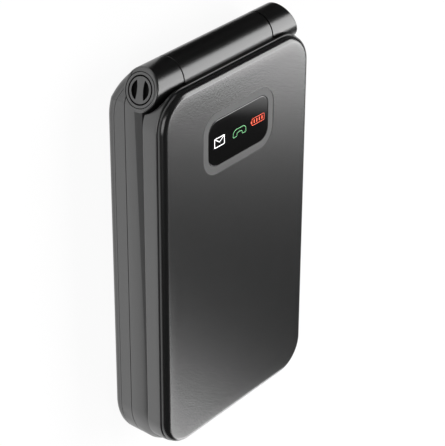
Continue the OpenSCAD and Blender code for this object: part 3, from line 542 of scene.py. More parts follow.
print("scene: finishes")
looks = dict(
    housing=moulded("charcoalHousing", grey(0.022), 0.30, 0.16, 0.0016, 0.8),
    lidGrain=moulded("charcoalGrain", grey(0.008), 0.2, 0.42, 0.015, 0.5, 0.01),
    # black of the hinge barrel, also used as painted shade in the seam gaps and on the wall behind the barrel
    barrel=moulded("blackBarrelAndShade", grey(0.0025), 0.28, 0.2, 0.0004, 0.5, 0.02),
    ring=moulded("smoothRing", grey(0.022), 0.42, 0.3, 0.0006),
    cap=moulded("capCharcoal", grey(0.03), 0.35, 0.18, 0.0012, 0.8),
    # near-black painted shade, for the groove and slots of the hinge caps
    shadeBlack=moulded("unlitBlack", grey(0.002), 0.8, 0.3, 0.002, 0.1),
    lens=moulded("polishedBlack", grey(0.003), 0.05, 0.5, 0.0001),
    key=moulded("keyBlack", grey(0.012), 0.32, 0.2, 0.0008),
    blackPart=moulded("blackNylon", grey(0.01), 0.45, 0.25, 0.002),
    metalRing=metal("ringMetal", (0.33, 0.34, 0.36), 0.3, (1.0, 1.0, 1.0), 0.0003),
    steel=metal("platedSteel", (0.62, 0.62, 0.6), 0.28),
    steelSocket=metal("socketSteel", (0.66, 0.66, 0.65), 0.3, (1.0, 9.0, 1.0)),
    spring=metal("springSteel", (0.5, 0.5, 0.5), 0.24, (9.0, 1.0, 1.0)),
    brass=metal("hingeBrass", (0.72, 0.52, 0.22), 0.3),
    tin=metal("tinnedSheet", (0.7, 0.71, 0.72), 0.34, (1.0, 8.0, 1.0)),
    gold=metal("contactGold", (0.9, 0.66, 0.26), 0.24),
    copper=metal("aerialCopper", (0.82, 0.42, 0.24), 0.3),
    magnet=metal("nickelPlate", (0.6, 0.58, 0.54), 0.22),
    rubber=rubbery("blackRubber", grey(0.02)),
    board=boardLook("circuitBoard"),
    iconWhite=lit("iconWhite", (0.95, 0.95, 0.95), 1.0),
    iconGreen=lit("iconGreen", (0.28, 0.8, 0.36), 0.62),
    iconRed=lit("iconRed", (0.95, 0.09, 0.03), 1.3),
    ink=moulded("whiteInk", grey(0.8), 0.5, 0.1, 0.0006),
    inkGrey=moulded("greyInk", grey(0.6), 0.5, 0.1, 0.0006),
    inkGreen=moulded("greenInk", (0.05, 0.5, 0.12), 0.5, 0.1, 0.0006),
    inkRed=moulded("redInk", (0.65, 0.04, 0.03), 0.5, 0.1, 0.0006),
    displayLens=glassOver("displayGlass", displayMask, (0.007, 0.008, 0.011)),
    cameraGlass=glassOver("cameraGlass", lensMask, (0.16, 0.16, 0.17)),
    domes=moulded("domeSheet", grey(0.7), 0.3, 0.4, 0.002),
    battery=wrapLook("batteryWrap"),
    speaker=clothLook("speakerCloth"),
    flex=flexLook("flexFilm"),
    panel=moulded("displayPanel", (0.01, 0.012, 0.016), 0.1, 0.4, 0.0001),
)

slant = math.radians(hinge["lean"])


# Plan of the base, set in by inset and tapering towards the hinge
def basePlan(inset=0.0):
    half = body["halfWidth"] - inset
    middle = body["halfWidth"] - body["cornerRound"]
    shift = inset / math.cos(slant)
    kinkY = hinge["y"] + (hinge["endX"] - shift - half) / math.tan(slant)
    endX = hinge["endX"] - shift - (body["endY"] - hinge["y"]) * math.tan(slant)
    low = -body["endY"] + body["cornerRound"]
    return [(-middle, -body["endY"] + inset), (middle, -body["endY"] + inset), ((middle, low), 90, 24),
            (half, kinkY), (endX, body["endY"]), (-endX, body["endY"]), (-half, kinkY),
            (-half, low), ((-middle, low), 90, 24)]


arcRise, arcReach = body["arcRadius"] - hinge["z"], body["arcRadius"] - hinge["radius"]
arcY = hinge["y"] - math.sqrt(arcReach ** 2 - arcRise ** 2)     # where the flat back starts to curve up
touch = (hinge["y"] - arcY) / arcReach                          # sine of the arc's whole turn


# The back in side view, raised by lift: flat, then up the arc by so many degrees
def backLine(lift, degrees, steps):
    return [(-far, lift), (arcY, lift), ((arcY, body["arcRadius"] + lift), degrees, steps)]


print("scene: base block")
# The base's outside as one block; its three shells are cut from copies of it
baseBlock = prism("baseBlock", "plan", -5.0, body["baseTop"] - body["chamferHeight"], basePlan())
kept(baseBlock, prism("backView", "side", -far, far, backLine(0.0, math.degrees(math.asin(touch)), 20) + [
    (arcY + body["arcRadius"] * touch, 40.0), (-far, 40.0)]))
steppedTop(baseBlock, body["chamferIn"], body["chamferHeight"])


def backEdge(a, b, normals):             # the edge round the back, up the arc to the barrel
    walls = [n for n in normals if abs(n.z) < 0.02]
    return sharp(normals, 50) and len(walls) == 1 and max(a.z, b.z) < body["backRoundTop"]


rounded(baseBlock, body["backRound"], 8, backEdge)
kept(baseBlock, prism("trim", "plan", -1.0, 12.0, basePlan(-0.002)))

knuckle = dict(rim=0.45, rimSteps=5, inside=0.02, barrelRoom=0.35, lipY=0.5, boreEnd=21.99,
               pocket=4.26, pocketDepth=1.4)
knuckles = hingeRod("knuckles", hinge["radius"], -far, far)
taperX, reachX = hinge["endX"] - knuckle["inside"], 5.0      # the rims lie a hair inside the slanted faces
reachY = reachX / math.tan(slant)
kept(knuckles, prism("taper", "plan", 0.0, 20.0, [
    (-taperX - reachX, hinge["y"] - reachY), (taperX + reachX, hinge["y"] - reachY),
    (taperX - reachX, hinge["y"] + reachY), (-taperX + reachX, hinge["y"] + reachY)]))
rounded(knuckles, knuckle["rim"], knuckle["rimSteps"], edgesAbove(degrees=40))
kept(knuckles, prism("planView", "plan", 0.0, 20.0, basePlan()))
merged(baseBlock, knuckles)
seamX = hinge["seamX"]
cut(baseBlock, [hingeRod("barrelRoom", hinge["radius"] + knuckle["barrelRoom"], -seamX, seamX),
                block("lipRoom", (-seamX, hinge["y"] + knuckle["lipY"], -5), (seamX, far, 30))])
print("scene: base block has", len(baseBlock.data.polygons), "faces")


def alongEnd(side, depth):               # a point on a knuckle's own axis, depth mm out of its slanted end
    x = side * (hinge["endX"] + depth * math.cos(slant))
    return (x, hinge["y"] + depth * math.sin(slant), hinge["z"])


def boreTools():                         # the bore through the knuckles and the two cap pockets
    pockets = [rod("pocket", knuckle["pocket"], alongEnd(side, -knuckle["pocketDepth"]), alongEnd(side, 3.0))
               for side in (-1, 1)]
    return [hingeRod("bore", hinge["bore"], -knuckle["boreEnd"], knuckle["boreEnd"], 72)] + pockets


shells = dict(coverEnd=47.3, coverLip=0.9, coverFloor=1.0, hollowTurn=28.0, innerEnd=41.9, rearLedge=0.7,
              frontRoof=9.7, seamEdge=0.1, holeEdge=0.15, keyEdge=0.2)
beneath = -9.0           # under every shell


# Takes a shell from the base block, by its side view and the hollow inside it
def shellOf(name, sideMoves, hollowZ, hollowY, floorLift):
    shell = copyOf(baseBlock, name)
    kept(shell, prism("zone", "side", -far, far, sideMoves))
    hollow = prism("hollow", "plan", hollowZ[0], hollowZ[1], basePlan(inset=body["wall"]))
    kept(hollow, prism("hollowView", "side", -far, far, backLine(floorLift, shells["hollowTurn"], 8) + [
        (hollowY, 30.0), (-far, 30.0)]))
    return cut(shell, hollow)


coverEnd = shells["coverEnd"]
coverTurn = math.degrees(math.asin((coverEnd - arcY) / body["arcRadius"]))

print("scene: battery cover")
speaker = dict(x=-12.0, slots=5, slotWidth=9.0, slotLength=0.8, pitch=1.7)
camera = dict(x=12.0, hole=3.65, glass=3.6, low=0.15, high=1.0, edge=0.15)
rearY = middleOf("camera_window")[1]
batteryCover = shellOf("batteryCover", backLine(body["backSeam"] - seamGap, coverTurn, 14) + [
    (coverEnd - seamGap, beneath), (-far, beneath)], (-6.0, 20.0), coverEnd - shells["coverLip"],
    shells["coverFloor"])
slotTools = [pad("slot", speaker["slotWidth"], speaker["slotLength"], 0.39, -2.0, 3.0, speaker["x"],
                 rearY + (k - 2) * speaker["pitch"], 6) for k in range(speaker["slots"])]
cameraHole = post("cameraHole", camera["hole"], camera["x"], rearY, -2, 3, 72)
cut(batteryCover, joined("coverHoles", slotTools + [cameraHole]))
rounded(batteryCover, shells["holeEdge"], 2, edgesBelow(0.0))

print("scene: rear housing")
rearTop = body["midSeam"] - seamGap
rearHousing = shellOf("rearHousing", backLine(body["backSeam"] + seamGap, coverTurn, 14) + [
    (coverEnd + seamGap, beneath), (far, beneath), (far, rearTop), (-far, rearTop)],
    (-6.0, rearTop - shells["rearLedge"]), shells["innerEnd"], beneath)

print("scene: front housing")
frontLow = body["midSeam"] + seamGap
frontHousing = shellOf("frontHousing", [(-far, frontLow), (far, frontLow), (far, 30.0), (-far, 30.0)],
                       (4.0, shells["frontRoof"]), shells["innerEnd"], beneath)


def onSeam(level):                       # the outer edge of a seam between two shells
    def test(a, b, normals):
        if not sharp(normals, 40) or max(abs(a.z - level), abs(b.z - level)) > slack / 2:
            return False
        middle = (a + b) / 2
        wall = min(normals, key=lambda n: abs(n.z))
        return wall.x * middle.x + wall.y * (middle.y + 6.0) > 0 and abs(wall.z) < 0.9
    return test


keySpots = {}                            # where each key stands: middle and size
pitchX, pitchY = keypad["keyWidth"] + keypad["web"], keypad["keyLength"] + keypad["web"]
for row, names in enumerate([("key_star", "key_0", "key_hash"), ("key_7", "key_8", "key_9"),
                             ("key_4", "key_5", "key_6"), ("key_1", "key_2", "key_3")]):
    for column, key in enumerate(names):
        keySpots[key] = ((column - 1) * pitchX, keypad["firstRow"] + row * pitchY,
                         keypad["keyWidth"], keypad["keyLength"])
for key, sideX, sideY in (("key_call", -1, -1), ("key_end", 1, -1), ("key_soft_left", -1, 1),
                          ("key_soft_right", 1, 1)):
    keySpots[key] = (sideX * keypad["sideX"], keypad["ringY"] + sideY * keypad["sideY"],
                     keypad["sideWidth"], keypad["sideLength"])

room = keypad["gap"] * 2
keyHoles = [pad("keyHole", w + room, l + room, keypad["keyRound"], 5.0, 20.0, x, y, 6)
            for x, y, w, l in keySpots.values()]
keyHoles.append(post("ringHole", keypad["ringRadius"] + keypad["gap"], 0, keypad["ringY"], 5, 20))
cut(frontHousing, joined("keyHoles", keyHoles))

volume = dict(y=15.875, z=7.45, length=16.0, height=1.9, corner=0.8, edge=0.22, proud=0.3, gap=0.25,
              depth=2.4, flangeIn=1.6, flangeOut=0.4, signX=4.7, signLength=1.0,
              signLine=0.18, signDepth=0.08)
bottom = dict(usbX=0.0, usbZ=7.0, usbWidth=7.6, usbHeight=2.7, usbY=-52.6, usbDepth=5.0, usbWall=0.3,
              jackX=9.0, jackZ=5.35, jackNose=2.3, micX=-9.0, micZ=8.35, micRadius=0.5)


def usbOutline(grow, corner, steps=8):
    return cornerMoves(bottom["usbWidth"] + grow, bottom["usbHeight"] + grow, corner, bottom["usbX"],
                       bottom["usbZ"], steps)


def sideTools():                         # openings in the side and in the bottom end
    y = -body["endY"]
    gap = volume["gap"] * 2
    rocker = prism("rockerHole", "side", 24.0, 30.0, cornerMoves(
        volume["length"] + gap, volume["height"] + gap, 1.0, volume["y"], volume["z"], 6))
    port = prism("portHole", "end", y - 2, y + 6, usbOutline(0.2, 0.9, 6))
    jack = rod("jackHole", bottom["jackNose"] + 0.05, (bottom["jackX"], y - 2, bottom["jackZ"]),
               (bottom["jackX"], y + 6, bottom["jackZ"]), 72)
    mic = rod("micHole", bottom["micRadius"], (bottom["micX"], y - 2, bottom["micZ"]),
              (bottom["micX"], y + 3, bottom["micZ"]), 24)
    return [rocker, port, jack, mic]


for shell in (rearHousing, frontHousing):
    cut(shell, [joined("bores", boreTools()), joined("openings", sideTools())])
rounded(frontHousing, shells["keyEdge"], 3, within(edgesAbove(body["baseTop"]), 24.0, 30.0))
rounded(rearHousing, shells["seamEdge"], 2, onSeam(rearTop))
rounded(frontHousing, shells["seamEdge"], 2, onSeam(frontLow))
finished(batteryCover, "housing", "base", ["battery_cover"])
finished(rearHousing, "housing", "base", ["rear_housing"])
finished(frontHousing, "housing", "base", ["front_housing"])
bpy.data.objects.remove(baseBlock)


def barrelSkinOrSeamShade(c, n):                      # the hinge's black skin round the barrel and knuckles; the end faces in the seam gaps get painted shade
    radial = math.hypot(c.y - hinge["y"], c.z - hinge["z"])
    outward = n.y * (c.y - hinge["y"]) + n.z * (c.z - hinge["z"])
    skin = radial > hinge["radius"] - 0.5 and outward > 0.3 * radial
    return radial < hinge["radius"] + 0.05 and (skin or abs(n.x) > 0.9 and abs(c.x) < hinge["seamX"] + 0.1)


# the knuckles' skin is black; their faces in the seam gaps are painted black as painted shade
painted(frontHousing, "barrel", lambda c, n: barrelSkinOrSeamShade(c, n)
        and abs(c.x) < hinge["endX"] - 0.3 + (hinge["y"] - c.y) * math.tan(slant))
for shell in (batteryCover, rearHousing, frontHousing):
    print("scene:", shell.name, len(shell.data.polygons), "faces")

print("scene: hinge caps")
cap = dict(radius=4.13, thick=1.35, groove=3.3, grooveWidth=0.34, grooveDepth=0.4, slotRadius=2.5, bar=0.88,
           barHalf=3.0, bulge=9.0, slotDepth=0.9, lean=80.0, edge=0.14, fineEdge=0.07, rim=0.3)


# A cap is turned flat on the floor plane, then stood on its slanted face
def endCap(name, side, node):
    plug = post(name, cap["radius"], 0, 0, -cap["thick"], 0, 128)
    rounded(plug, cap["edge"], 3, edgesAbove(0.0))
    groove = post("groove", cap["groove"] + cap["grooveWidth"] / 2, 0, 0, -cap["grooveDepth"], 1, 128)
    cut(groove, post("core", cap["groove"] - cap["grooveWidth"] / 2, 0, 0, -2, 2, 128))
    slots = post("slots", cap["slotRadius"], 0, 0, -cap["slotDepth"], 1)
    half, bulge = cap["barHalf"], cap["bulge"]          # the bar's sides are slightly hollow
    reach = math.degrees(math.asin(half / bulge))
    middle = cap["bar"] + bulge
    cornerY = middle - bulge * math.cos(math.radians(reach))
    cut(slots, prism("bar", "plan", -2.0, 2.0, [(-half, -cornerY), ((0, -middle), -2 * reach, 16),
                                                (half, cornerY), ((0, middle), -2 * reach, 16)]))
    cut(plug, [groove, slots])
    onTop = edgesAbove(0.0)
    rounded(plug, cap["fineEdge"], 2, lambda a, b, normals: onTop(a, b, normals)
            and max(a.xy.length, b.xy.length) < cap["radius"] - cap["rim"])
    turn = Matrix.Rotation(math.radians(cap["lean"]), 4, "Z")
    stand = Matrix.Rotation(math.radians(90), 4, "Y")
    swing = Matrix.Rotation(slant, 4, "Z")
    flip = Matrix.Diagonal((side, 1, 1, 1))
    plug.matrix_world = flip @ Matrix.Translation(Vector(alongEnd(1, 0)) * mm) @ swing @ stand @ turn
    pick(plug)
    settle()
    finished(plug, "cap", "base", [node])
    outward, face0 = Vector((side * math.cos(slant), math.sin(slant), 0)), Vector(alongEnd(side, 0))

    def sunkShade(c, n):                      # inside the groove and the slots, which get near-black painted shade
        depth = (c - face0).dot(outward)
        return depth < -0.12 and (c - face0 - outward * depth).length < cap["groove"] + 0.25

    # the groove and the slots are painted near-black, as painted shade
    painted(plug, "shadeBlack", sunkShade)


endCap("hingeCapLeft", -1, "hinge_cap_left")
endCap("hingeCapRight", 1, "hinge_cap_right")

print("scene: lid frame")
frameSize = dict(plateTop=12.6, lowRound=0.45, tuck=0.12, tuckHeight=1.1, seamRound=0.28, barrelEnd=15.92,
                 barrelRim=0.14, scoop=5.6, hingeWall=6.6, boreStep=-12.4, smallBore=2.42, lensWidth=47.2,
                 lensLow=-42.9, lensHigh=34.8, lensTop=12.05, displayY=(-34.3, 20.7), displayHalf=20.0,
                 earY=-41.2, bumperX=10.0, screwX=19.0, screwYs=(-45.2, 37.5), plugRadius=1.65, holeEdge=0.12)


def lidPlan(inset=0.0):
    return cornerMoves(body["halfWidth"] * 2 - 2 * inset, lid["y1"] - lid["y0"] - 2 * inset,
                       lid["corner"] - inset, 0.0, (lid["y0"] + lid["y1"]) / 2, 16)


frameTop = lid["seam"] - lid["halfSeam"]
lidFrame = prism("lidFrame", "plan", lid["bottom"], frameTop - frameSize["tuckHeight"], lidPlan())
steppedTop(lidFrame, frameSize["tuck"], frameSize["tuckHeight"])
rounded(lidFrame, frameSize["seamRound"], 4, edgesAbove(frameTop))
rounded(lidFrame, frameSize["lowRound"], 5, edgesBelow(lid["bottom"]))
barrelEnd = frameSize["barrelEnd"]
barrel = hingeRod("barrel", hinge["radius"], -barrelEnd, barrelEnd)
rounded(barrel, frameSize["barrelRim"], 3, edgesAbove())
cut(lidFrame, joined("scoops", [hingeRod("scoop", frameSize["scoop"], side * barrelEnd, side * far)
                                for side in (-1, 1)]))
merged(lidFrame, barrel)
inside = prism("inside", "plan", frameSize["plateTop"], 30.0, lidPlan(body["wall"]))
cut(inside, block("hingeSide", (-far, hinge["y"] - frameSize["hingeWall"], 0), (far, far, 40)))
lensY = (frameSize["lensLow"] + frameSize["lensHigh"]) / 2
lensLength = frameSize["lensHigh"] - frameSize["lensLow"]
displayLow, displayHigh = frameSize["displayY"]
recesses = [pad("lensRecess", frameSize["lensWidth"], lensLength, 2.1, 5.0, frameSize["lensTop"],
                0.0, lensY, 8)]
apertures = [block("displayOpening", (-frameSize["displayHalf"], displayLow, 11.8),
                   (frameSize["displayHalf"], displayHigh, 12.8)),
             pad("earSlot", 8.0, 1.2, 0.59, 11.8, 12.8, 0.0, frameSize["earY"], 8)]
for y in frameSize["screwYs"]:
    for side in (-1, 1):
        apertures.append(post("plugHole", frameSize["plugRadius"], side * frameSize["screwX"], y,
                              8, 12.4, 48))
        recesses.append(pad("bumperHole", 5.0, 1.6, 0.79, 8.0, 11.8, side * frameSize["bumperX"], y, 8))
cut(lidFrame, [inside, joined("recesses", recesses), joined("apertures", apertures)])
cut(lidFrame, joined("barrelBores", [
    hingeRod("boreRight", hinge["bore"], frameSize["boreStep"], 20, 72),
    hingeRod("boreLeft", frameSize["smallBore"], -20, frameSize["boreStep"] + 0.1, 64)]))
rounded(lidFrame, frameSize["holeEdge"], 2, within(edgesBelow(lid["bottom"]), 25.0, 41.0))
finished(lidFrame, "housing", "lid", ["lid_frame"])
# The barrel is black; the wall behind it is painted black too, as painted shade under the barrel
painted(lidFrame, "barrel", lambda c, n: barrelSkinOrSeamShade(c, n) or c.y > 47.0 and n.y > 0.15)

print("scene: lid cover")
coverSize = dict(edge=1.6, crown=[(1.2, 0.014), (1.4, 0.006)], spare=0.006, setIn=0.3, lowEdge=0.08,
                 ringEdge=0.08, ledge=1.2, innerWall=1.8, glassGap=0.06, glassLow=16.05, glassEdge=0.24)
windowTop = lid["top"] - window["ringDepth"]
coverLow = lid["seam"] + lid["halfSeam"]
faceLow = lid["top"] - sum(rise for width, rise in coverSize["crown"]) - coverSize["spare"]


# The window's outline, grown by so much; its corners may grow by something else
def windowPad(name, grow, low, high, steps=16, cornerGrow=None):
    corner = window["corner"] + (grow if cornerGrow is None else cornerGrow)
    return pad(name, window["width"] + 2 * grow, window["length"] + 2 * grow, corner, low, high, 0.0,
               window["y"], steps)


def inWindow(spot, grow):
    x, y = abs(spot.x), abs(spot.y - window["y"])
    return x < window["width"] / 2 + grow and y < window["length"] / 2 + grow


def openingEdge(a, b, normals):          # the upper edge of the opening for the glass
    level = max(abs(a.z - windowTop), abs(b.z - windowTop)) < slack
    return sharp(normals) and level and inWindow((a + b) / 2, 0.2)


lidCover = prism("lidCover", "plan", coverLow, faceLow, lidPlan(coverSize["setIn"]))
rounded(lidCover, coverSize["edge"], 12, edgesAbove(faceLow))
for width, rise in coverSize["crown"]:   # the face rises a little from its rim
    steppedTop(lidCover, width, rise)
rounded(lidCover, coverSize["lowEdge"], 3, edgesBelow(coverLow))
hollow = prism("under", "plan", lid["seam"] - 1.0, lid["top"] - lid["skin"], lidPlan(coverSize["innerWall"]))
cut(hollow, windowPad("frameRim", coverSize["ledge"], 10.0, 20.0, 12))
cut(lidCover, [hollow, windowPad("ringRecess", window["ring"], windowTop, 20.0),
               windowPad("opening", coverSize["glassGap"], coverSize["glassLow"], 20.0),
               windowPad("through", -coverSize["ledge"], 10.0, 20.0, 8, -0.6)])
rounded(lidCover, coverSize["ringEdge"], 2, within(edgesAbove(windowTop + 0.06), 16))
rounded(lidCover, coverSize["ringEdge"], 2, openingEdge)
finished(lidCover, "lidGrain", "lid", ["lid_cover"])
painted(lidCover, "ring", lambda c, n: 15.9 < c.z < windowTop + 0.02 and inWindow(c, window["ring"] + 0.05))

windowLens = windowPad("windowLens", 0.0, coverSize["glassLow"], windowTop)
rounded(windowLens, coverSize["glassEdge"], 4, edgesAbove(windowTop))
finished(windowLens, "lens", "lid", ["window_lens"])
for shell in (lidFrame, lidCover):
    print("scene:", shell.name, len(shell.data.polygons), "faces")

print("scene: pictograms")


# A line of ink on the window: points in mm, drawn as a flat ribbon with round edges
def stroke(name, points, closed, width):
    line = bpy.data.curves.new(name, "CURVE")
    line.dimensions = "3D"
    line.bevel_depth = width / 2
    line.bevel_resolution = 2
    line.use_fill_caps = True
    spline = line.splines.new("POLY")
    spline.points.add(len(points) - 1)
    for point, (x, y) in zip(spline.points, points):
        point.co = (x, y, 0, 1)
    spline.use_cyclic_u = closed
    ribbon = bpy.data.objects.new(name, line)
    bpy.context.scene.collection.objects.link(ribbon)
    pick(ribbon)
    bpy.ops.object.convert(target="MESH")
    ribbon.scale = (mm, mm, mm * 2 * inkHeight / width)
    ribbon.location = (0, 0, windowTop * mm)
    settle()
    return ribbon


def softBox(x, y, w, h, r):              # a rounded rectangle as points
    points = []
    for k, (sideX, sideY) in enumerate(((1, 1), (-1, 1), (-1, -1), (1, -1))):
        for step in range(5):
            turn = math.radians(90 * k + 22.5 * step)
            points.append((x + sideX * (w / 2 - r) + r * math.cos(turn),
                           y + sideY * (h / 2 - r) + r * math.sin(turn)))
    return points


# The handset of a call sign, as one closed outline that is w wide by h high, about (x, y)
def handset(x, y, w, h, tilt=0.0):
    half = [(0.0, 0.50), (0.26, 0.48), (0.40, 0.38), (0.49, 0.10), (0.50, -0.42), (0.46, -0.50),
            (0.24, -0.48), (0.20, -0.42), (0.20, -0.12), (0.12, -0.02), (0.0, 0.00)]
    outline = half + [(-a, b) for a, b in reversed(half[1:-1])]
    c, s = math.cos(math.radians(tilt)), math.sin(math.radians(tilt))
    return [(x + w * a * c - h * b * s, y + w * a * s + h * b * c) for a, b in outline]


# A box is (x, y, width, height, corner) and a handset (x, y, width, height)
icon = dict(line=0.21, thin=0.1, envelope=(-7.05, 30.5, 3.5, 2.3, 0.12), flapX=1.7, flapTop=1.1, flapTip=-0.1,
            handset=(0.3, 30.3, 4.7, 1.9), battery=(7.2, 30.75, 4.6, 1.75, 0.3), bars=4, barWidth=0.26,
            barPitch=0.98, barHalf=0.46, nubX=-2.52, nubHalf=0.3)
line, thin, barWidth = icon["line"], icon["thin"], icon["barWidth"]
x, y = icon["envelope"][:2]
flap = [(x - icon["flapX"], y + icon["flapTop"]), (x, y + icon["flapTip"]),
        (x + icon["flapX"], y + icon["flapTop"])]
inked(joined("envelopeIcon", [stroke("edge", softBox(*icon["envelope"]), True, line),
                              stroke("flap", flap, False, line)]), "iconWhite", "lid")
inked(joined("callIcon", [stroke("outline", handset(*icon["handset"]), True, thin)]), "iconGreen", "lid")
x, y = icon["battery"][:2]
barXs = [x + icon["barPitch"] * (k - (icon["bars"] - 1) / 2) for k in range(icon["bars"])]
uprights = [(barX, icon["barHalf"]) for barX in barXs] + [(x + icon["nubX"], icon["nubHalf"])]
bars = [stroke("bar", [(barX, y - half), (barX, y + half)], False, barWidth) for barX, half in uprights]
inked(joined("batteryIcon", bars + [stroke("edge", softBox(*icon["battery"]), True, thin)]), "iconRed", "lid")

print("scene: keys")
keyShape = dict(edge=0.55, flange=0.5, flangeTop=9.6, figure=6.0858, star=10.143, softBar=(3.4, 0.6, 0.29),
                mark=(4.6, 2.3), callTilt=118, callDrop=0.2)
keyTop = body["baseTop"] + keypad["proud"]
inkTop = keyTop + inkHeight


def keycap(name, w, l, x, y):
    top = pad(name, w, l, keypad["keyRound"], keypad["flangeZ"], keyTop, x, y, 8)
    rounded(top, keyShape["edge"], 5, edgesAbove(keyTop))
    flange = keyShape["flange"] * 2
    return merged(top, pad("flange", w + flange, l + flange, keypad["keyRound"], keypad["flangeZ"],
                           keyShape["flangeTop"], x, y, 8))


# A printed figure of a text size in mm, centred on (x, y) and lying on the key's top
def printed(name, figure, size, x, y):
    clearSelection()
    bpy.ops.object.text_add(location=(0, 0, 0))
    text = bpy.context.object.data
    text.body = figure
    text.size = size * mm
    text.resolution_u = 4
    text.extrude = inkHeight / 2 * mm
    bpy.ops.object.convert(target="MESH")
    piece = named(name)
    middle = (Vector(piece.bound_box[0]) + Vector(piece.bound_box[6])) / 2 / mm
    return welded(moved(piece, x - middle.x, y - middle.y, keyTop + inkHeight / 2 - middle.z))


def pieceName(key):                      # the CAD's key_soft_left is keySoftLeft here
    words = key.split("_")
    return words[0] + "".join(word.title() for word in words[1:])


capMaster = keycap("numberKey", keypad["keyWidth"], keypad["keyLength"], 0, 0)
figures = dict(key_star="*", key_hash="#")
for key, (x, y, w, l) in keySpots.items():
    if w == keypad["sideWidth"]:
        finished(keycap(pieceName(key), w, l, x, y), "key", key, [key])
        continue
    finished(moved(copyOf(capMaster, pieceName(key)), x, y), "key", key, [key])
    size = keyShape["star"] if key == "key_star" else keyShape["figure"]
    inked(printed(pieceName(key) + "Figure", figures.get(key, key[-1]), size, x, y), "ink", key)
bpy.data.objects.remove(capMaster)
for key in ("key_soft_left", "key_soft_right"):
    x, y = keySpots[key][:2]
    inked(pad(pieceName(key) + "Mark", *keyShape["softBar"], keyTop, inkTop, x, y, 4), "ink", key)
for key, look, drop, tilt in (("key_call", "inkGreen", keyShape["callDrop"], keyShape["callTilt"]),
                              ("key_end", "inkRed", 0.0, 0.0)):
    x, y = keySpots[key][:2]
    mark = prism(pieceName(key) + "Mark", "plan", keyTop, inkTop,
                 handset(x, y - drop, *keyShape["mark"], tilt))
    inked(mark, look, key)


# Turns a closed profile of (radius, height) points round the upright axis of the ring
def turned(name, profile, steps=96):
    pick(drawn(name, "end", keypad["ringY"], profile))
    editAll()
    bpy.ops.mesh.delete(type="ONLY_FACE")
    bpy.ops.mesh.select_all(action="SELECT")
    bpy.ops.mesh.spin(steps=steps, angle=2 * math.pi, center=(0, keypad["ringY"] * mm, 0), axis=(0, 0, 1))
    bpy.ops.mesh.select_all(action="SELECT")
    bpy.ops.mesh.remove_doubles(threshold=0.001 * mm)
    faceOut()
    leaveEdit()
    return bpy.context.object


ring = dict(top=body["baseTop"] - 0.1, inner=keypad["centreRadius"] + 0.4,
            arrow=[(9.55, 0.0), (8.75, 0.75), (8.75, -0.75)], arrowLow=0.28, arrowHigh=0.13)
ringTop, ringOut, ringIn = ring["top"], keypad["ringRadius"], ring["inner"]
navRing = turned("navRing", [
    (ringOut + 0.5, 9.0), (ringOut + 0.5, 9.3), (ringOut, 9.3), (ringOut, ringTop - 0.3),
    (ringOut - 0.1, ringTop - 0.1), (ringOut - 0.35, ringTop), (ringOut - 1.3, ringTop - 0.04),
    ((ringOut + ringIn) / 2, ringTop - 0.2), (ringIn + 1.0, ringTop - 0.12), (ringIn + 0.25, ringTop - 0.12),
    (ringIn, ringTop - 0.35), (ringIn, 9.0)])
finished(navRing, "metalRing", "nav_ring", ["nav_ring"], degrees=40)
for k in range(4):
    c, s = math.cos(math.radians(90 * k)), math.sin(math.radians(90 * k))
    spots = [(a * c - b * s, keypad["ringY"] + a * s + b * c) for a, b in ring["arrow"]]
    mark = prism("arrow%d" % k, "plan", ringTop - ring["arrowLow"], ringTop - ring["arrowHigh"], spots)
    inked(mark, "inkGrey", "nav_ring")

okKey = post("keyOk", keypad["centreRadius"], 0, keypad["ringY"], 9.0, keyTop)
rounded(okKey, 0.4, 5, edgesAbove(keyTop))
finished(okKey, "key", "key_ok", ["key_ok"])
inked(turned("keyOkMark", [(1.15, keyTop), (1.15, inkTop), (0.85, inkTop), (0.85, keyTop)], 48),
      "ink", "key_ok")

rockerX, rockerIn = body["halfWidth"] + volume["proud"], body["halfWidth"] + volume["proud"] - volume["depth"]
rocker = prism("volumeRocker", "side", rockerIn, rockerX, cornerMoves(
    volume["length"], volume["height"], volume["corner"], volume["y"], volume["z"], 8))
rounded(rocker, volume["edge"], 4, edgesAbove(rockerX, axis=0))
lowBox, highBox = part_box("volume_rocker")
lip = (highBox.y - lowBox.y) / 2 / mm


def rockerBlock(name, x0, x1, middleY, halfY, halfZ):
    y, z = volume["y"] + middleY, volume["z"]
    return block(name, (x0, y - halfY, z - halfZ), (x1, y + halfY, z + halfZ))


merged(rocker, rockerBlock("rockerFlange", rockerIn, rockerX - volume["flangeIn"], 0.0, lip,
                           volume["height"] / 2 + volume["flangeOut"]))
signX, long, thick = rockerX - volume["signDepth"], volume["signLength"] / 2, volume["signLine"] / 2
signY = volume["signX"] + long
cut(rocker, [rockerBlock("minus", signX, rockerX + 1, -signY, long, thick),
             rockerBlock("plus", signX, rockerX + 1, signY, long, thick),
             rockerBlock("plusBar", signX, rockerX + 1, signY, thick, long)])
finished(rocker, "key", "volume_rocker", ["volume_rocker"])

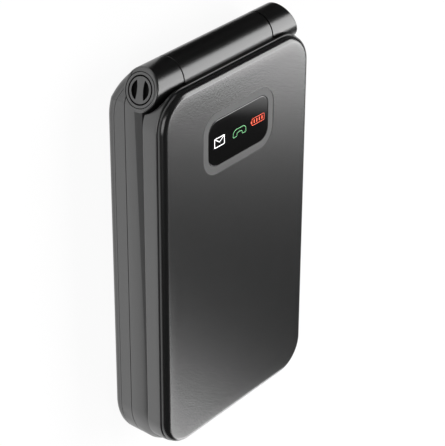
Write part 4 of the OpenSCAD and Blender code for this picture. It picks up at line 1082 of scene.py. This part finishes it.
print("scene: inside of the lid")
inner = dict(lensLow=lid["bottom"] + 0.05, lensHigh=lid["bottom"] + 0.85, lensEdge=0.12,
             plugLow=lid["bottom"] + 0.02, plugHigh=11.75, plugRadius=1.6, plugEdge=0.18, bumperLow=body["baseTop"] + 0.03, bumperHigh=11.8,
             bumperEdge=0.22)
displayLens = pad("displayLens", frameSize["lensWidth"] - 0.2, lensLength - 0.2, 2.0, inner["lensLow"],
                  inner["lensHigh"], 0.0, lensY, 8)
cut(displayLens, pad("earSlot", 8.0, 1.2, 0.59, 5.0, 20.0, 0.0, frameSize["earY"], 8))
rounded(displayLens, inner["lensEdge"], 3, edgesBelow(inner["lensLow"]))
finished(displayLens, "displayLens", "lid", ["display_lens"])
plugs, bumpers = [], []
for y in frameSize["screwYs"]:
    for side in (-1, 1):
        plugs.append(post("plug", inner["plugRadius"], side * frameSize["screwX"], y, inner["plugLow"],
                          inner["plugHigh"], 48))
        bumpers.append(pad("bumper", 4.98, 1.58, 0.78, inner["bumperLow"], inner["bumperHigh"],
                           side * frameSize["bumperX"], y, 8))
plugs, bumpers = joined("screwPlugs", plugs), joined("rubberBumpers", bumpers)
rounded(plugs, inner["plugEdge"], 3, edgesBelow(inner["plugLow"]))
rounded(bumpers, inner["bumperEdge"], 4, edgesBelow(inner["bumperLow"]))
finished(plugs, "rubber", "lid", ["screw_plugs"])
finished(bumpers, "rubber", "lid", ["rubber_bumpers"])

print("scene: sockets and camera window")
usbY, usbEnd = bottom["usbY"], bottom["usbY"] + bottom["usbDepth"]
usbShell = prism("usbShell", "end", usbY, usbEnd, usbOutline(0.0, 0.8))
usbRoom = prism("usbRoom", "end", usbY - 1.0, usbEnd - bottom["usbWall"],
                usbOutline(-2 * bottom["usbWall"], 0.55))
cut(usbRoom, block("tongue", (-2.3, usbY + 0.5, bottom["usbZ"] - 0.3),
                   (2.3, usbY + 6.0, bottom["usbZ"] + 0.3)))
cut(usbShell, usbRoom)
rounded(usbShell, 0.08, 2, edgesBelow(usbY, axis=1))
finished(usbShell, "steelSocket", "base", ["usb_port"])
cameraWindow = post("cameraWindow", camera["glass"], camera["x"], rearY, camera["low"], camera["high"])
rounded(cameraWindow, camera["edge"], 3, edgesBelow(camera["low"]))
finished(cameraWindow, "cameraGlass", "base", ["camera_window"])

print("scene: finishes of the plain pieces")
# Which finish each piece that is kept from the frame gets
plainLooks = dict(
    rubber=["keypad_membrane"],
    domes=["dome_sheet"],
    board=["main_pcb", "lid_pcb"],
    tin=["shield_cans", "display_bracket", "sim_holder", "memory_card_holder"],
    battery=["battery"],
    gold=["battery_contacts"],
    steel=["vibration_motor", "base_screws", "lid_screws", "hinge_case", "hinge_shaft", "microphone"],
    spring=["hinge_spring"],
    brass=["hinge_follower"],
    blackPart=["camera_module", "headphone_jack", "hinge_bush", "icon_mask"],
    speaker=["loudspeaker", "earpiece"],
    copper=["antenna"],
    flex=["flex_cable"],
    magnet=["closing_magnet"],
    panel=["main_display"],
)
for look, names in plainLooks.items():
    for name in names:
        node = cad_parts[name]
        node.data.materials.clear()
        node.data.materials.append(looks[look])

print("scene: camera and light")
view = dict(place=(-299.10, 231.08, 259.67), forward=(0.67596, -0.49298, -0.54777),
            up=(0.37681, 0.87000, -0.31798), lens=149.45, shiftX=-0.0351, shiftY=-0.0605)
forward, up = Vector(view["forward"]).normalized(), Vector(view["up"]).normalized()
right = forward.cross(up).normalized()
up = right.cross(forward)
eye = bpy.data.objects.new("camera", bpy.data.cameras.new("camera"))
bpy.context.scene.collection.objects.link(eye)
viewTurn = Matrix((right, up, -forward)).transposed().to_4x4()
eye.matrix_world = Matrix.Translation(Vector(view["place"]) * mm) @ viewTurn
eye.data.lens = view["lens"]
eye.data.sensor_width = 36.0
eye.data.shift_x, eye.data.shift_y = view["shiftX"], view["shiftY"]
eye.data.clip_start = 0.01
bpy.context.scene.camera = eye
bpy.context.scene.view_settings.view_transform = "Standard"

studio = dict(floorSize=6.0, floorTone=0.86, floorGlow=0.93, world=0.05, boxAway=1.3, tableGlow=1.45)
floorLook = Finish("paleFloor", (studio["floorTone"],) * 3, 0.7)
byEye, byGloss, byGlass = (floorLook.node("ShaderNodeLightPath", out="Is %s Ray" % kind)
                           for kind in ("Camera", "Glossy", "Transmission"))
glowing = floorLook.node("ShaderNodeMixShader", {}, {
    0: (byEye + byGloss + byGlass).clamped() * studio["floorGlow"],
    1: Wire(floorLook, floorLook.shader.outputs[0]), 2: floorLook.node("ShaderNodeEmission")})
floorLook.show(floorLook.node("ShaderNodeMixShader", {}, {      # from below the floor lets the eye through
    0: floorLook.node("ShaderNodeNewGeometry", out="Backfacing"), 1: glowing,
    2: floorLook.node("ShaderNodeBsdfTransparent")}))
clearSelection()
bpy.ops.mesh.primitive_plane_add(size=studio["floorSize"], location=(0, 0, 0))
floor = named("floor")
floor.data.materials.append(floorLook.material)

world = bpy.data.worlds.new("studio")
world.use_nodes = True
world.node_tree.nodes["Background"].inputs[0].default_value = (1, 1, 1, 1)
world.node_tree.nodes["Background"].inputs[1].default_value = studio["world"]
bpy.context.scene.world = world


# A studio card that faces the phone and fills a range of azimuth (0 is +X, 90 is +Y) and of
# elevation, in degrees. Its light fades in over the share fade of its width, from its first side,
# or from its last where fade is below 0.
def softbox(name, azimuths, elevations, level, fade):
    away = studio["boxAway"]
    a, e = (math.radians(sum(angles) / 2) for angles in (azimuths, elevations))
    way = Vector((math.cos(e) * math.cos(a), math.cos(e) * math.sin(a), math.sin(e)))
    wide = 2 * away * math.cos(e) * math.tan(math.radians(azimuths[1] - azimuths[0]) / 2)
    high = 2 * away * math.tan(math.radians(elevations[1] - elevations[0]) / 2)
    clearSelection()
    bpy.ops.mesh.primitive_plane_add(size=1.0, location=way * away)
    card = named(name)
    card.rotation_euler = way.to_track_quat("Z", "Y").to_euler()
    card.scale = (wide, high, 1)
    light = Finish(name, (0, 0, 0), 1.0)
    along = light.node("ShaderNodeSeparateXYZ", {}, {0: light.where()}) + 0.5
    if fade < 0:
        along = 1.0 - along
    light.show(light.node("ShaderNodeEmission", {}, {1: (along * (1 / abs(fade))).clamped() * level}))
    card.data.materials.append(light.material)
    card.visible_camera = card.visible_shadow = False


def glossBoard(name, spot, scale, material):        # a board by the phone, which only the gloss shows
    clearSelection()
    bpy.ops.mesh.primitive_plane_add(size=1.0, location=spot)
    board = named(name)
    board.scale = (*scale, 1)
    board.data.materials.append(material)
    board.visible_camera = board.visible_diffuse = board.visible_shadow = False


softbox("keyBox", (-32.4, 34), (26, 56), 8.8, fade=0.09)
softbox("endBox", (-72, -46.1), (2, 42), 4.9, fade=-0.05)
softbox("leftBox", (152, 207), (14, 48), 4.6, fade=-0.3)
tableLook = Finish("lightTable", (0, 0, 0), 1.0)
tableLook.show(tableLook.node("ShaderNodeEmission", {}, {1: studio["tableGlow"]}))
flagBlack = moulded("flagBlack", grey(0.004), 0.9)
# A lit one beside the long side, and black ones behind the hinge and beyond the lit one
glossBoard("lightTable", (-0.0615, -0.2, 0.001), (0.067, 0.8), tableLook.material)
glossBoard("hingeFlag", (0.638, 0.654, 0.002), (1.3, 1.2), flagBlack)
glossBoard("sideFlag", (-0.845, -0.3, 0.002), (1.5, 2.0), flagBlack)
